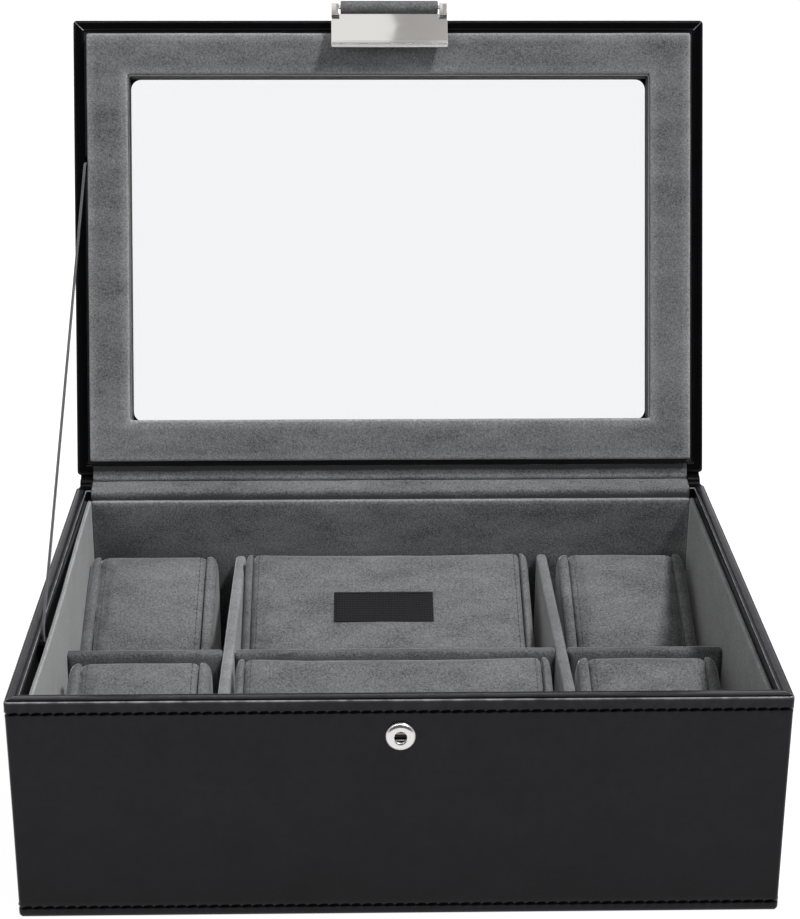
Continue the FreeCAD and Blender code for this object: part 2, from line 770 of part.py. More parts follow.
# Snap socket on the front: domed ring, tubular rivet through the wall, two spring wires
def make_snap():
    ring = turned("snap_socket", [
        ("snap_hole", "0"), ("snap_radius", "0"), ("snap_radius", "snap_height * 0.35"),
        ("snap_radius * 0.86", "snap_height * 0.75"), ("snap_radius * 0.64", "snap_height"),
        ("snap_hole * 1.15", "snap_height * 0.9"), ("snap_hole", "snap_height * 0.7"),
    ])
    seat_on_snap(ring)
    rivet = turned("snap_rivet", [
        ("snap_hole", "0"), ("rivet_radius", "0"), ("rivet_radius", "-leather - board"),
        ("rivet_flange", "-leather - board"), ("rivet_flange", "-leather - board - turn_in"),
        ("snap_hole", "-leather - board - turn_in"),
    ])
    seat_on_snap(rivet)
    body = new_body("snap_spring")
    reach = "sqrt(snap_hole ^ 2 - (spring_spread + spring_wire) ^ 2)"
    sketch = new_sketch(body, "YZ_Plane", f"-{reach}")
    for height in ("-spring_spread", "spring_spread"):
        draw_circle(sketch, (height, "snap_height * 0.3"), "spring_wire")
    pad_sketch(body, sketch, f"2 * {reach}")
    seat_on_snap(body)


# Round cord on straight runs joined by arcs, each as wide as its runs allow
def cord_path(points):
    spots = [FreeCAD.Vector(*p) for p in points]
    edges, start = [], spots[0]
    for before, here, after in zip(spots, spots[1:], spots[2:]):
        back, on = (before - here), (after - here)
        run = min(back.Length, on.Length)
        back.normalize()
        on.normalize()
        half = back.getAngle(on) / 2
        radius = 0.45 * run * math.tan(half)
        first, last = here + back * (0.45 * run), here + on * (0.45 * run)
        middle = here + (back + on).normalize() * (radius / math.sin(half) - radius)
        edges += [Part.makeLine(start, first), Part.Arc(first, middle, last).toShape()]
        start = last
        print(f"stay bend radius {radius:.2f} mm")
    edges.append(Part.makeLine(start, spots[-1]))
    return Part.Wire(edges)


# Stay cord, with a tab in the lid's groove and one in the notch of the left lining
def make_stay():
    path = cord_path(STAY_ROUTE)
    radius = value("stay_thick / 2")
    start, heading = path.Edges[0].Vertexes[0].Point, path.Edges[0].tangentAt(0)
    ring = Part.Wire(Part.makeCircle(radius, start, heading))
    cord = doc.addObject("Part::Feature", "stay_cord")
    cord.Shape = path.makePipeShell([ring], True, False)
    section = math.pi * radius ** 2
    print(f"stay length {path.Length:.1f} mm, volume share {cord.Shape.Volume / section / path.Length:.4f}")
    keep("stay_cord", cord)
    low, high = "-stay_reach - hinge_offset - stay_tab / 2", "-stay_reach - hinge_offset + stay_tab / 2"
    tab = new_body("stay_lid_tab")
    shape = [(f"-{x}", y) for x, y in (
        ("stay_groove", low), ("panel_x", low), ("panel_x", high), ("stay_groove", high))]
    pad(tab, "XY_Plane", [shape], "lid_rim", "rail_foot")
    seat_on_lid(tab)
    board(
        "stay_base_tab",
        ("-rim_x", "-stay_forward - stay_tab / 2", "lining_top - stay_tab"),
        ("-room_x", "-stay_forward + stay_tab / 2", "lining_top"),
    )


make_base_boards()
make_base_wrap()
make_hinge_linings()
make_hinge()
make_linings()
make_dividers()
for cushion in CUSHIONS:
    make_cushion(cushion)
make_label()
make_lid_rails()
make_lid_wrap()
make_lid_panel()
make_clasp_strap()
make_clasp()
make_snap()
make_stay()
doc.recompute()

failed = [thing.Label for thing in doc.Objects if {"Invalid", "Error"} & set(thing.State)]
if failed:
    raise RuntimeError("failed: " + ", ".join(failed))
for label, thing in pieces.items():
    if thing.Shape.isNull() or not thing.Shape.isValid() or thing.Shape.Volume <= 0:
        raise RuntimeError("bad shape: " + label)

os.makedirs("parts", exist_ok=True)
for label, thing in pieces.items():
    thing.Shape.exportStep(f"parts/{label}.step")
print(len(pieces), "sub-parts written")
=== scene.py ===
import json
import math
import bmesh
import bpy
from mathutils import Matrix, Vector, noise
from mathutils.bvhtree import BVHTree


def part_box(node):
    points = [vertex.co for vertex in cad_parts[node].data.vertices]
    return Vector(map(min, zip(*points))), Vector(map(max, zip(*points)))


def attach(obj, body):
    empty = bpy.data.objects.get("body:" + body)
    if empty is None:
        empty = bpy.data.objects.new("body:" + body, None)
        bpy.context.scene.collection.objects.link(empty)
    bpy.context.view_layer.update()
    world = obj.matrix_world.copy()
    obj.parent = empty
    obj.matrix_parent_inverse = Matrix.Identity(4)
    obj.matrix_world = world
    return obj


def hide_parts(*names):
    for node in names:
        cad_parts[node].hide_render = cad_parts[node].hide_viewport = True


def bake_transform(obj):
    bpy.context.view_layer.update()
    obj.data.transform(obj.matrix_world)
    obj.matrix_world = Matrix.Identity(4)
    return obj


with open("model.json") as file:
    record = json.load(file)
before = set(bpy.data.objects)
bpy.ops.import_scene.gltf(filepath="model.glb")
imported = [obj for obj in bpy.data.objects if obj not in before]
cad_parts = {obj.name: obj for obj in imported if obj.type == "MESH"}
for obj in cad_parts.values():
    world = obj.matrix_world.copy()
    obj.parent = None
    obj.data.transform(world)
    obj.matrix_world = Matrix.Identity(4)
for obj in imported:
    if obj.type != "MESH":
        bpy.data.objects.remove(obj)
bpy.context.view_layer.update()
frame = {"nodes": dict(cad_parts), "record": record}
scene = bpy.context.scene
mm = 0.001  # pieces are drawn in millimetres, meshes are in metres

joints = {joint["name"]: joint for joint in frame["record"]["behaviour"]["joints"]}
hingeJoint, claspJoint = joints["lid_hinge"], joints["clasp_swing"]
hingePlace = Vector(hingeJoint["pos_m"]) / mm
barPlace = Vector(claspJoint["pos_m"]) / mm
openAngle = math.radians(-hingeJoint["range_deg"][0])
lidToWorld = Matrix.Translation(hingePlace) @ Matrix.Rotation(-openAngle, 4, "X")
claspTilt = math.radians(-45)  # turn of the plate at rest
claspToWorld = Matrix.Translation(barPlace) @ Matrix.Rotation(claspTilt, 4, "X")


def nodeBox(node):
    low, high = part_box(node)
    return Vector(low) / mm, Vector(high) / mm


def pieceName(start, node):
    return start + node.title().replace("_", "")


def addObject(name, data):
    thing = bpy.data.objects.new(name, data)
    scene.collection.objects.link(thing)
    return thing


# Mesh of an object with its modifiers or its curve worked out
def finalMesh(thing):
    return bpy.data.meshes.new_from_object(thing.evaluated_get(bpy.context.evaluated_depsgraph_get()))


# Shader helpers
def newMaterial(name):
    material = bpy.data.materials.new(name)
    material.use_nodes = True
    return material, material.node_tree, material.node_tree.nodes["Principled BSDF"]


def addNode(tree, kind, inputs=None, **settings):
    node = tree.nodes.new(kind)
    for key, setting in settings.items():
        setattr(node, key, setting)
    for key, setting in (inputs or {}).items():
        node.inputs[key].default_value = setting
    return node


def objectNoise(tree, scale, detail=2.0, roughness=0.5, stretch=(1, 1, 1)):
    coords = addNode(tree, "ShaderNodeTexCoord")
    mapping = addNode(tree, "ShaderNodeMapping", {"Scale": stretch})
    texture = addNode(tree, "ShaderNodeTexNoise", {"Scale": scale, "Detail": detail, "Roughness": roughness})
    tree.links.new(coords.outputs["Object"], mapping.inputs["Vector"])
    tree.links.new(mapping.outputs["Vector"], texture.inputs["Vector"])
    return texture.outputs["Fac"]


def combine(tree, operation, first, second):
    node = addNode(tree, "ShaderNodeMath", operation=operation)
    for socket, source in zip(node.inputs, (first, second)):
        if isinstance(source, (int, float)):
            socket.default_value = source
        else:
            tree.links.new(source, socket)
    return node.outputs[0]


def colourRamp(tree, source, stops):
    ramp = addNode(tree, "ShaderNodeValToRGB")
    while len(ramp.color_ramp.elements) < len(stops):
        ramp.color_ramp.elements.new(0.5)
    for element, (place, colour) in zip(ramp.color_ramp.elements, stops):
        element.position = place
        element.color = (*colour, 1)
    tree.links.new(source, ramp.inputs["Fac"])
    return ramp.outputs["Color"]


def rangeOf(tree, source, low, high):
    node = addNode(tree, "ShaderNodeMapRange", {"To Min": low, "To Max": high})
    tree.links.new(source, node.inputs["Value"])
    return node.outputs["Result"]


def addBump(tree, shader, height, strength, distance):
    bump = addNode(tree, "ShaderNodeBump", {"Strength": strength, "Distance": distance})
    tree.links.new(height, bump.inputs["Height"])
    tree.links.new(bump.outputs["Normal"], shader.inputs["Normal"])


# Per-point share read from the mesh: real edge wear together with painted highlights, painted sheen and painted shade
def wornAndLitShare(tree):
    return addNode(tree, "ShaderNodeAttribute", attribute_name="wornAndLit").outputs["Fac"]


# Finishes
leatherLook = {
    "pebbles": 1300.0, "fine": 2600.0, "fineShare": 0.5, "cloud": 55.0, "scuffs": 320.0, "scuffRange": (0.4, 0.9),
    "cloudTone": (0.15, 0.3), "scuffTone": 0.55, "rough": (0.17, 0.27), "rubbed": 0.06, "gloss": 0.15,
    "bump": 0.16, "grainHeight": 0.00012,
    # The light upper stops show mostly where the share runs high: painted highlight lines along rounded leather edges
    "tones": ((0.0, (0.0009, 0.0009, 0.0011)), (0.26, (0.0016, 0.0016, 0.002)), (0.45, (0.0125, 0.0121, 0.0165)),
              (0.66, (0.042, 0.041, 0.044)), (1.0, (0.36, 0.358, 0.366))),
}


def makeLeather():
    look = leatherLook
    material, tree, shader = newMaterial("blackLeather")
    coords = addNode(tree, "ShaderNodeTexCoord")
    pebbles = addNode(tree, "ShaderNodeTexVoronoi", {"Scale": look["pebbles"]}, feature="SMOOTH_F1")
    tree.links.new(coords.outputs["Object"], pebbles.inputs["Vector"])
    fine = objectNoise(tree, look["fine"], 3.0)
    cloud = objectNoise(tree, look["cloud"], 3.0)
    scuffs = rangeOf(tree, objectNoise(tree, look["scuffs"], 4.0), *look["scuffRange"])
    # Edge wear together with painted highlights: lightens the colour and lowers the roughness
    wearAndLight = combine(tree, "MULTIPLY", wornAndLitShare(tree), scuffs)
    tone = combine(tree, "ADD", rangeOf(tree, cloud, *look["cloudTone"]),
                   combine(tree, "MULTIPLY", wearAndLight, look["scuffTone"]))
    tree.links.new(colourRamp(tree, tone, look["tones"]), shader.inputs["Base Color"])
    rough = combine(tree, "SUBTRACT", rangeOf(tree, cloud, *look["rough"]),
                    combine(tree, "MULTIPLY", wearAndLight, look["rubbed"]))
    tree.links.new(rough, shader.inputs["Roughness"])
    shader.inputs["Specular IOR Level"].default_value = look["gloss"]
    grain = combine(tree, "ADD", pebbles.outputs["Distance"], combine(tree, "MULTIPLY", fine, look["fineShare"]))
    addBump(tree, shader, grain, look["bump"], look["grainHeight"])
    return material


velvetLook = {"pile": 1500.0, "pileShare": 0.62, "nap": 120.0, "napShare": 0.25, "brushedAndLit": 22.0,
              "brushedShare": 0.13, "wornAndLitRange": (0.1, 0.34), "stops": (0.34, 0.5, 0.66, 0.9), "rough": 0.92,
              "gloss": 0.12, "sheen": 0.95, "sheenRough": 0.27, "bump": 0.45, "pileHeight": 0.0003}


def makeVelvet(name, dark, light, wornAndLit):
    look = velvetLook
    material, tree, shader = newMaterial(name)
    pile = objectNoise(tree, look["pile"], 3.0, 0.65)
    nap = objectNoise(tree, look["nap"], 4.0, 0.6, (0.45, 1, 1))
    brushedAndLit = objectNoise(tree, look["brushedAndLit"], 2.0, 0.5, (0.6, 1, 1))
    tone = combine(tree, "ADD", combine(tree, "MULTIPLY", pile, look["pileShare"]),
                   combine(tree, "MULTIPLY", nap, look["napShare"]))
    tone = combine(tree, "ADD", tone, combine(tree, "MULTIPLY", brushedAndLit, look["brushedShare"]))
    # Painted sheen along rounded edges and painted light on lit walls where the share is positive, painted shade
    # where it is negative
    edge = combine(tree, "MULTIPLY", wornAndLitShare(tree), rangeOf(tree, pile, *look["wornAndLitRange"]))
    tone = combine(tree, "ADD", tone, edge)
    middle = tuple((a + b) / 2 for a, b in zip(dark, light))
    colour = colourRamp(tree, tone, tuple(zip(look["stops"], (dark, middle, light, wornAndLit))))
    tree.links.new(colour, shader.inputs["Base Color"])
    shader.inputs["Roughness"].default_value = look["rough"]
    shader.inputs["Specular IOR Level"].default_value = look["gloss"]
    shader.inputs["Sheen Weight"].default_value = look["sheen"]
    shader.inputs["Sheen Roughness"].default_value = look["sheenRough"]
    shader.inputs["Sheen Tint"].default_value = (1, 1, 1, 1)
    addBump(tree, shader, pile, look["bump"], look["pileHeight"])
    return material


metalLook = {"smear": 260.0, "smearRange": (0.7, 1.5), "ripple": 130.0, "rippleHeight": 0.0002}


def makeMetal(name, colour, roughness, ripple):
    look = metalLook
    material, tree, shader = newMaterial(name)
    shader.inputs["Base Color"].default_value = (*colour, 1)
    shader.inputs["Metallic"].default_value = 1.0
    smear = objectNoise(tree, look["smear"], 3.0, 0.6, (0.25, 1, 1))
    bright, dull = (roughness * share for share in look["smearRange"])
    tree.links.new(rangeOf(tree, smear, bright, dull), shader.inputs["Roughness"])
    waves = objectNoise(tree, look["ripple"], 2.0, 0.5, (0.3, 1.6, 1.6))
    addBump(tree, shader, waves, ripple, look["rippleHeight"])
    return material


glassLook = {"colour": (0.775, 0.777, 0.79, 1), "bend": 1.45, "smear": 30.0, "rough": (0.0, 0.015)}


def makeGlass():
    look = glassLook
    material, tree, shader = newMaterial("windowGlass")
    shader.inputs["Base Color"].default_value = look["colour"]
    shader.inputs["Transmission Weight"].default_value = 1.0
    shader.inputs["IOR"].default_value = look["bend"]
    tree.links.new(rangeOf(tree, objectNoise(tree, look["smear"]), *look["rough"]), shader.inputs["Roughness"])
    return material


boardLook = {"fibres": 420.0, "stops": (0.35, 0.65), "rough": (0.6, 0.8), "bump": 0.2, "fibreHeight": 0.0002}


def makeBoard(name, dark, light):
    look = boardLook
    material, tree, shader = newMaterial(name)
    fibres = objectNoise(tree, look["fibres"], 5.0, 0.7, (1, 0.3, 1))
    colour = colourRamp(tree, fibres, tuple(zip(look["stops"], (dark, light))))
    tree.links.new(colour, shader.inputs["Base Color"])
    tree.links.new(rangeOf(tree, fibres, *look["rough"]), shader.inputs["Roughness"])
    addBump(tree, shader, fibres, look["bump"], look["fibreHeight"])
    return material


# Thread-fine stripes across each other
wovenLook = {"turn": 0.314, "shares": (1.0, 0.6), "waver": 0.4, "fuzz": 900.0, "fuzzShare": 0.35,
             "stops": (0.1, 0.95), "rough": 0.62, "bump": 0.5, "threadHeight": 0.00015}


def makeWoven(name, dark, light, period, along, gloss=0.3, sheen=0.1):
    look = wovenLook
    material, tree, shader = newMaterial(name)
    coords = addNode(tree, "ShaderNodeTexCoord")
    bands = []
    for axis, share in zip(("X", along), look["shares"]):
        wave = addNode(tree, "ShaderNodeTexWave",
                       {"Scale": look["turn"] / (period * share), "Distortion": look["waver"]}, bands_direction=axis)
        tree.links.new(coords.outputs["Object"], wave.inputs["Vector"])
        bands.append(wave.outputs["Fac"])
    cross = combine(tree, "MULTIPLY", *bands)
    fuzz = combine(tree, "MULTIPLY", objectNoise(tree, look["fuzz"], 3.0), look["fuzzShare"])
    colour = colourRamp(tree, combine(tree, "ADD", cross, fuzz), tuple(zip(look["stops"], (dark, light))))
    tree.links.new(colour, shader.inputs["Base Color"])
    shader.inputs["Roughness"].default_value = look["rough"]
    shader.inputs["Specular IOR Level"].default_value = gloss
    shader.inputs["Sheen Weight"].default_value = sheen
    addBump(tree, shader, cross, look["bump"], look["threadHeight"])
    return material


leather = makeLeather()
# The last colour of each velvet is the painted sheen reached at high shares
velvet = makeVelvet("greyVelvet", (0.05, 0.051, 0.053), (0.245, 0.248, 0.254), (0.42, 0.423, 0.43))
darkVelvet = makeVelvet("feltUnderside", (0.008, 0.008, 0.009), (0.022, 0.022, 0.024), (0.03, 0.03, 0.032))
chrome = makeMetal("polishedMetal", (0.735, 0.715, 0.70), 0.10, 0.05)
dulled = makeMetal("dulledMetal", (0.64, 0.63, 0.62), 0.22, 0.5)
steel = makeMetal("springSteel", (0.36, 0.36, 0.37), 0.26, 0.04)
glass = makeGlass()
railBoard = makeBoard("blackBoard", (0.004, 0.004, 0.0045), (0.010, 0.010, 0.011))
wallBoard = makeBoard("greyBoard", (0.11, 0.10, 0.09), (0.22, 0.20, 0.18))
labelCloth = makeWoven("wovenLabel", (0.004, 0.004, 0.005), (0.03, 0.028, 0.031), 0.0006, "Z", 0.08, 0.0)
cordYarn = makeWoven("stayYarn", (0.03, 0.03, 0.033), (0.2, 0.2, 0.21), 0.0006, "Y")
thread = makeWoven("blackThread", (0.0003, 0.0003, 0.0004), (0.001, 0.001, 0.0012), 0.0005, "Z", 0.02, 0.0)
seamThread = makeWoven("seamThread", (0.03, 0.03, 0.032), (0.12, 0.12, 0.122), 0.0006, "Y")
print("finishes made")

finishOf = {
    "black_leather": leather, "rail_board": railBoard, "wall_board": wallBoard, "grey_velvet": velvet,
    "underside_felt": darkVelvet, "glass": glass, "polished_metal": chrome, "spring_steel": steel,
    "stay_cord": cordYarn, "woven_label": labelCloth,
}


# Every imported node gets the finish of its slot
def dressNodes():
    slotOf = {entry["node"]: entry["material_slot"] for entry in frame["record"]["subparts"]}
    for node, thing in frame["nodes"].items():
        thing.data.materials.clear()
        thing.data.materials.append(finishOf[slotOf[node]])
    frame["nodes"]["window_pane"].visible_shadow = False


# Mesh helpers
mergeGap = 0.002  # points closer than this become one


def makePiece(name, points, faces, material, toWorld=None, wornAndLit=None, sharp=38):
    mesh = bpy.data.meshes.new(name)
    if toWorld is not None:
        points = [toWorld @ Vector(p) for p in points]
    mesh.from_pydata([Vector(p) * mm for p in points], [], faces)
    # Per-point shares of wear and painted light, read by the leather and velvet finishes
    if wornAndLit is not None:
        mesh.attributes.new("wornAndLit", "FLOAT", "POINT").data.foreach_set("value", wornAndLit)
    shape = bmesh.new()
    shape.from_mesh(mesh)
    bmesh.ops.remove_doubles(shape, verts=shape.verts, dist=mergeGap * mm)
    bmesh.ops.recalc_face_normals(shape, faces=shape.faces)
    shape.to_mesh(mesh)
    shape.free()
    finishMesh(mesh, material, sharp)
    return addObject(name, mesh)


def finishMesh(mesh, material, sharp=38):
    mesh.materials.clear()
    mesh.materials.append(material)
    mesh.polygons.foreach_set("use_smooth", [True] * len(mesh.polygons))
    mesh.set_sharp_from_angle(angle=math.radians(sharp))


def settle(piece, body, slot, *nodes):
    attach(piece, body)
    if nodes:
        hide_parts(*nodes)
    return piece


# Rings of equal count joined in order, with the ends capped or the last joined to the first
def loft(rings, ringClosed=True, endless=False):
    count = len(rings[0])
    points = [p for ring in rings for p in ring]
    faces = []
    for i in range(len(rings) if endless else len(rings) - 1):
        j = (i + 1) % len(rings)
        for k in range(count if ringClosed else count - 1):
            n = (k + 1) % count
            faces.append((i * count + k, i * count + n, j * count + n, j * count + k))
    if ringClosed and not endless:
        faces.append(tuple(range(count - 1, -1, -1)))
        faces.append(tuple(range((len(rings) - 1) * count, len(rings) * count)))
    return points, faces


# Shapes of (points, faces, shares of wear and painted light) made one
def joinShapes(*shapes):
    points, faces, wornAndLit = [], [], []
    for more, moreFaces, moreWornAndLit in shapes:
        faces += [tuple(i + len(points) for i in face) for face in moreFaces]
        points += list(more)
        wornAndLit += list(moreWornAndLit)
    return points, faces, wornAndLit


def cornerArc(centre, radius, first, last, steps):
    return [(centre[0] + radius * math.cos(math.radians(first + (last - first) * k / steps)),
             centre[1] + radius * math.sin(math.radians(first + (last - first) * k / steps)))
            for k in range(steps + 1)]


# Round-cornered rectangle, its sides cut into even steps
def rectRing(low, high, radius, steps=5, cuts=(1, 1)):
    corners = (((high[0] - radius, high[1] - radius), 0), ((low[0] + radius, high[1] - radius), 90),
               ((low[0] + radius, low[1] + radius), 180), ((high[0] - radius, low[1] + radius), 270))
    ring = []
    for index, (centre, turn) in enumerate(corners):
        ring += cornerArc(centre, radius, turn, turn + 90, steps)
        after, afterTurn = corners[(index + 1) % 4]
        start = Vector(ring[-1])
        end = Vector(cornerArc(after, radius, afterTurn, afterTurn + 90, 1)[0])
        parts = cuts[index % 2]
        ring += [tuple(start.lerp(end, k / parts)) for k in range(1, parts)]
    return ring


def wobble(point, size, amount, seed=0.0):
    return noise.noise(Vector(point) / size + Vector((seed, seed * 1.7, -seed))) * amount


# Camera, as fitted to the photograph
cameraView = {"place": (-12.97, -653.58, 379.7), "pitch": 21.23, "yaw": 1.27, "roll": 0.19, "focal": 2013.6,
              "longSide": 919, "sensor": 36.0}


def makeCamera():
    pitch, yaw, roll = (math.radians(cameraView[k]) for k in ("pitch", "yaw", "roll"))
    ahead = Vector((math.sin(yaw) * math.cos(pitch), math.cos(yaw) * math.cos(pitch), -math.sin(pitch)))
    level = Vector((math.cos(yaw), -math.sin(yaw), 0))
    upright = level.cross(ahead)
    right = level * math.cos(roll) + upright * math.sin(roll)
    up = upright * math.cos(roll) - level * math.sin(roll)
    camera = addObject("photoCamera", bpy.data.cameras.new("photoCamera"))
    camera.data.sensor_width = cameraView["sensor"]
    camera.data.lens = cameraView["focal"] / cameraView["longSide"] * cameraView["sensor"]
    camera.matrix_world = Matrix.Translation(Vector(cameraView["place"]) * mm) @ Matrix(
        (right, up, -ahead)).transposed().to_4x4()
    scene.camera = camera


studio = {"keyTowards": (0.44, -0.16, 0.884), "keyAngle": 8.0, "keyPower": 2.85, "aim": (0, 0.03, 0.11),
          "fillPlace": (-0.9, -1.3, 0.9), "fillSize": 1.2, "fillPower": 9.0, "skyLevel": 0.29,
          "glossDark": 0.1, "glossFrom": -0.55, "glossTo": -0.05,
          "floorReach": 6.0, "floorLift": 0.9, "floorTones": (0.25, 0.27),
          "cardColour": (1, 0.99, 0.98, 1), "cardRange": (0.8, 1.2),
          "cards": (("greyCard", (30, -500, 1300), (700, 400, 1300), 0.42),
                    ("brightStrip", (-1500, -520, 1200), (1500, -440, 1200), 9.0))}


def whiteRays(tree):
    path = addNode(tree, "ShaderNodeLightPath")
    return path.outputs["Is Glossy Ray"], combine(tree, "MAXIMUM", path.outputs["Is Camera Ray"],
                                                  path.outputs["Is Transmission Ray"])


def makeLights():
    target = Vector(studio["aim"])
    key = addObject("keyLight", bpy.data.lights.new("keyLight", "SUN"))
    key.data.energy = studio["keyPower"]
    key.data.angle = math.radians(studio["keyAngle"])
    key.location = target + Vector(studio["keyTowards"])
    fill = addObject("fillLight", bpy.data.lights.new("fillLight", "AREA"))
    fill.data.energy = studio["fillPower"]
    fill.data.size = studio["fillSize"]
    fill.location = studio["fillPlace"]
    fill.visible_glossy = False
    for lamp in (key, fill):
        lamp.rotation_euler = (target - lamp.location).to_track_quat("-Z", "Y").to_euler()


# White all round, but dim towards the front where gloss looks back at the dark side of the room
def makeSky():
    world = bpy.data.worlds.new("studioSky")
    world.use_nodes = True
    scene.world = world
    tree = world.node_tree
    background = tree.nodes["Background"]
    gloss, white = whiteRays(tree)
    apart = addNode(tree, "ShaderNodeSeparateXYZ")
    tree.links.new(addNode(tree, "ShaderNodeTexCoord").outputs["Generated"], apart.inputs[0])
    sweep = addNode(tree, "ShaderNodeMapRange", {"From Min": studio["glossFrom"], "From Max": studio["glossTo"],
                                                 "To Min": studio["glossDark"], "To Max": 1.0})
    tree.links.new(apart.outputs["Y"], sweep.inputs["Value"])
    shone = combine(tree, "MULTIPLY", gloss, sweep.outputs["Result"])
    plain = combine(tree, "MULTIPLY", combine(tree, "SUBTRACT", 1.0, gloss),
                    rangeOf(tree, white, studio["skyLevel"], 1.0))
    tree.links.new(combine(tree, "ADD", shone, plain), background.inputs["Strength"])
    background.inputs["Color"].default_value = (1, 1, 1, 1)


def flatSheet(name, low, high):
    z = low[2]
    points = [(low[0], low[1], z), (high[0], low[1], z), (high[0], high[1], z), (low[0], high[1], z)]
    return makePiece(name, points, [(0, 1, 2, 3)], None)


def makeFloor():
    reach = studio["floorReach"] / mm
    floor = flatSheet("paleFloor", (-reach, -reach, 0), (reach, reach, 0))
    material, tree, shader = newMaterial("paleFloor")
    tones = [(place, (tone,) * 3) for place, tone in zip((0.0, 1.0), studio["floorTones"])]
    tree.links.new(colourRamp(tree, objectNoise(tree, 3.0), tones), shader.inputs["Base Color"])
    shader.inputs["Roughness"].default_value = 0.9
    shader.inputs["Emission Color"].default_value = (1, 1, 1, 1)
    tree.links.new(rangeOf(tree, combine(tree, "MAXIMUM", *whiteRays(tree)), 0.0, studio["floorLift"]),
                   shader.inputs["Emission Strength"])
    floor.data.materials[0] = material


# Cards overhead that only gloss sees
def makeCards():
    for name, low, high, level in studio["cards"]:
        card = flatSheet(name, low, high)
        material, tree, shader = newMaterial(name)
        shader.inputs["Base Color"].default_value = (0, 0, 0, 1)
        shader.inputs["Emission Color"].default_value = studio["cardColour"]
        streaks = objectNoise(tree, 6.0, 2.0, 0.5, (1, 0.2, 1))
        dim, bright = (level * share for share in studio["cardRange"])
        tree.links.new(rangeOf(tree, streaks, dim, bright), shader.inputs["Emission Strength"])
        card.data.materials[0] = material
        card.visible_camera = card.visible_diffuse = card.visible_shadow = card.visible_transmission = False


def makeStudio():
    scene.view_settings.view_transform = "Standard"
    makeLights()
    makeSky()
    makeFloor()
    makeCards()


dressNodes()
makeCamera()
makeStudio()
print("camera and studio ready")


# Stay: three strands twisted round a smooth line along the route's points
stay = {"route": ((-120.1, 134.86, 199.56), (-120.1, 130.89, 200.95), (-119.4, -40.0, 80.3),
                  (-119.4, -40.0, 76.1)),
        "straight": ((-120.088, 127.965, 198.886), (-119.412, -37.075, 82.365)), "smooth": 24,
        "length": 0.217, "thick": 1.2, "strand": 0.33, "twist": 2.6, "sides": 7, "step": 0.35, "strands": 3}


def readLine(points, name):
    curve = bpy.data.curves.new(name, "CURVE")
    curve.dimensions = "3D"
    curve.resolution_u = stay["smooth"]
    spline = curve.splines.new("NURBS")
    spline.points.add(len(points) - 1)
    for spot, point in zip(spline.points, points):
        spot.co = (*(Vector(point) * mm), 1)
    spline.order_u = 3
    spline.use_endpoint_u = True
    thing = addObject(name, curve)
    mesh = finalMesh(thing)
    line = [v.co / mm for v in mesh.vertices]
    bpy.data.objects.remove(thing)
    bpy.data.curves.remove(curve)
    bpy.data.meshes.remove(mesh)
    return line


def evenLine(line, step):
    lengths = [0.0]
    for a, b in zip(line, line[1:]):
        lengths.append(lengths[-1] + (b - a).length)
    count = max(2, round(lengths[-1] / step))
    spots, index = [], 0
    for k in range(count + 1):
        along = lengths[-1] * k / count
        while index < len(line) - 2 and lengths[index + 1] < along:
            index += 1
        share = (along - lengths[index]) / max(lengths[index + 1] - lengths[index], 1e-9)
        spots.append(line[index].lerp(line[index + 1], share))
    return spots, lengths[-1]


def makeStay():
    first, second, third, last = stay["route"]
    line = readLine((first, second, *stay["straight"], third, last), "stayLine")
    spots, length = evenLine(line, stay["step"])
    shapes = []
    orbit = stay["thick"] / 2 - stay["strand"]
    for strand in range(stay["strands"]):
        rings = []
        for index, spot in enumerate(spots):
            ahead = (spots[min(index + 1, len(spots) - 1)] - spots[max(index - 1, 0)]).normalized()
            side = ahead.cross(Vector((1, 0, 0))).normalized()
            over = ahead.cross(side)
            turn = 2 * math.pi * (index * stay["step"] / stay["twist"] + strand / stay["strands"])
            centre = spot + (side * math.cos(turn) + over * math.sin(turn)) * orbit
            rings.append([centre + (side * math.cos(a) + over * math.sin(a)) * stay["strand"]
                          for a in (2 * math.pi * k / stay["sides"] for k in range(stay["sides"]))])
        shapes.append((*loft(rings), []))
    points, faces, _ = joinShapes(*shapes)
    piece = makePiece("stayCord", points, faces, cordYarn, sharp=60)
    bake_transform(piece)
    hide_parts("stay_cord")
    print(f"stay cord laid, {length:.1f} mm")


makeStay()


# Stitch rows: arched threads along a line, leaning a little, facing away from a centre
stitchSway = {"Min": -0.05, "Max": 0.05}


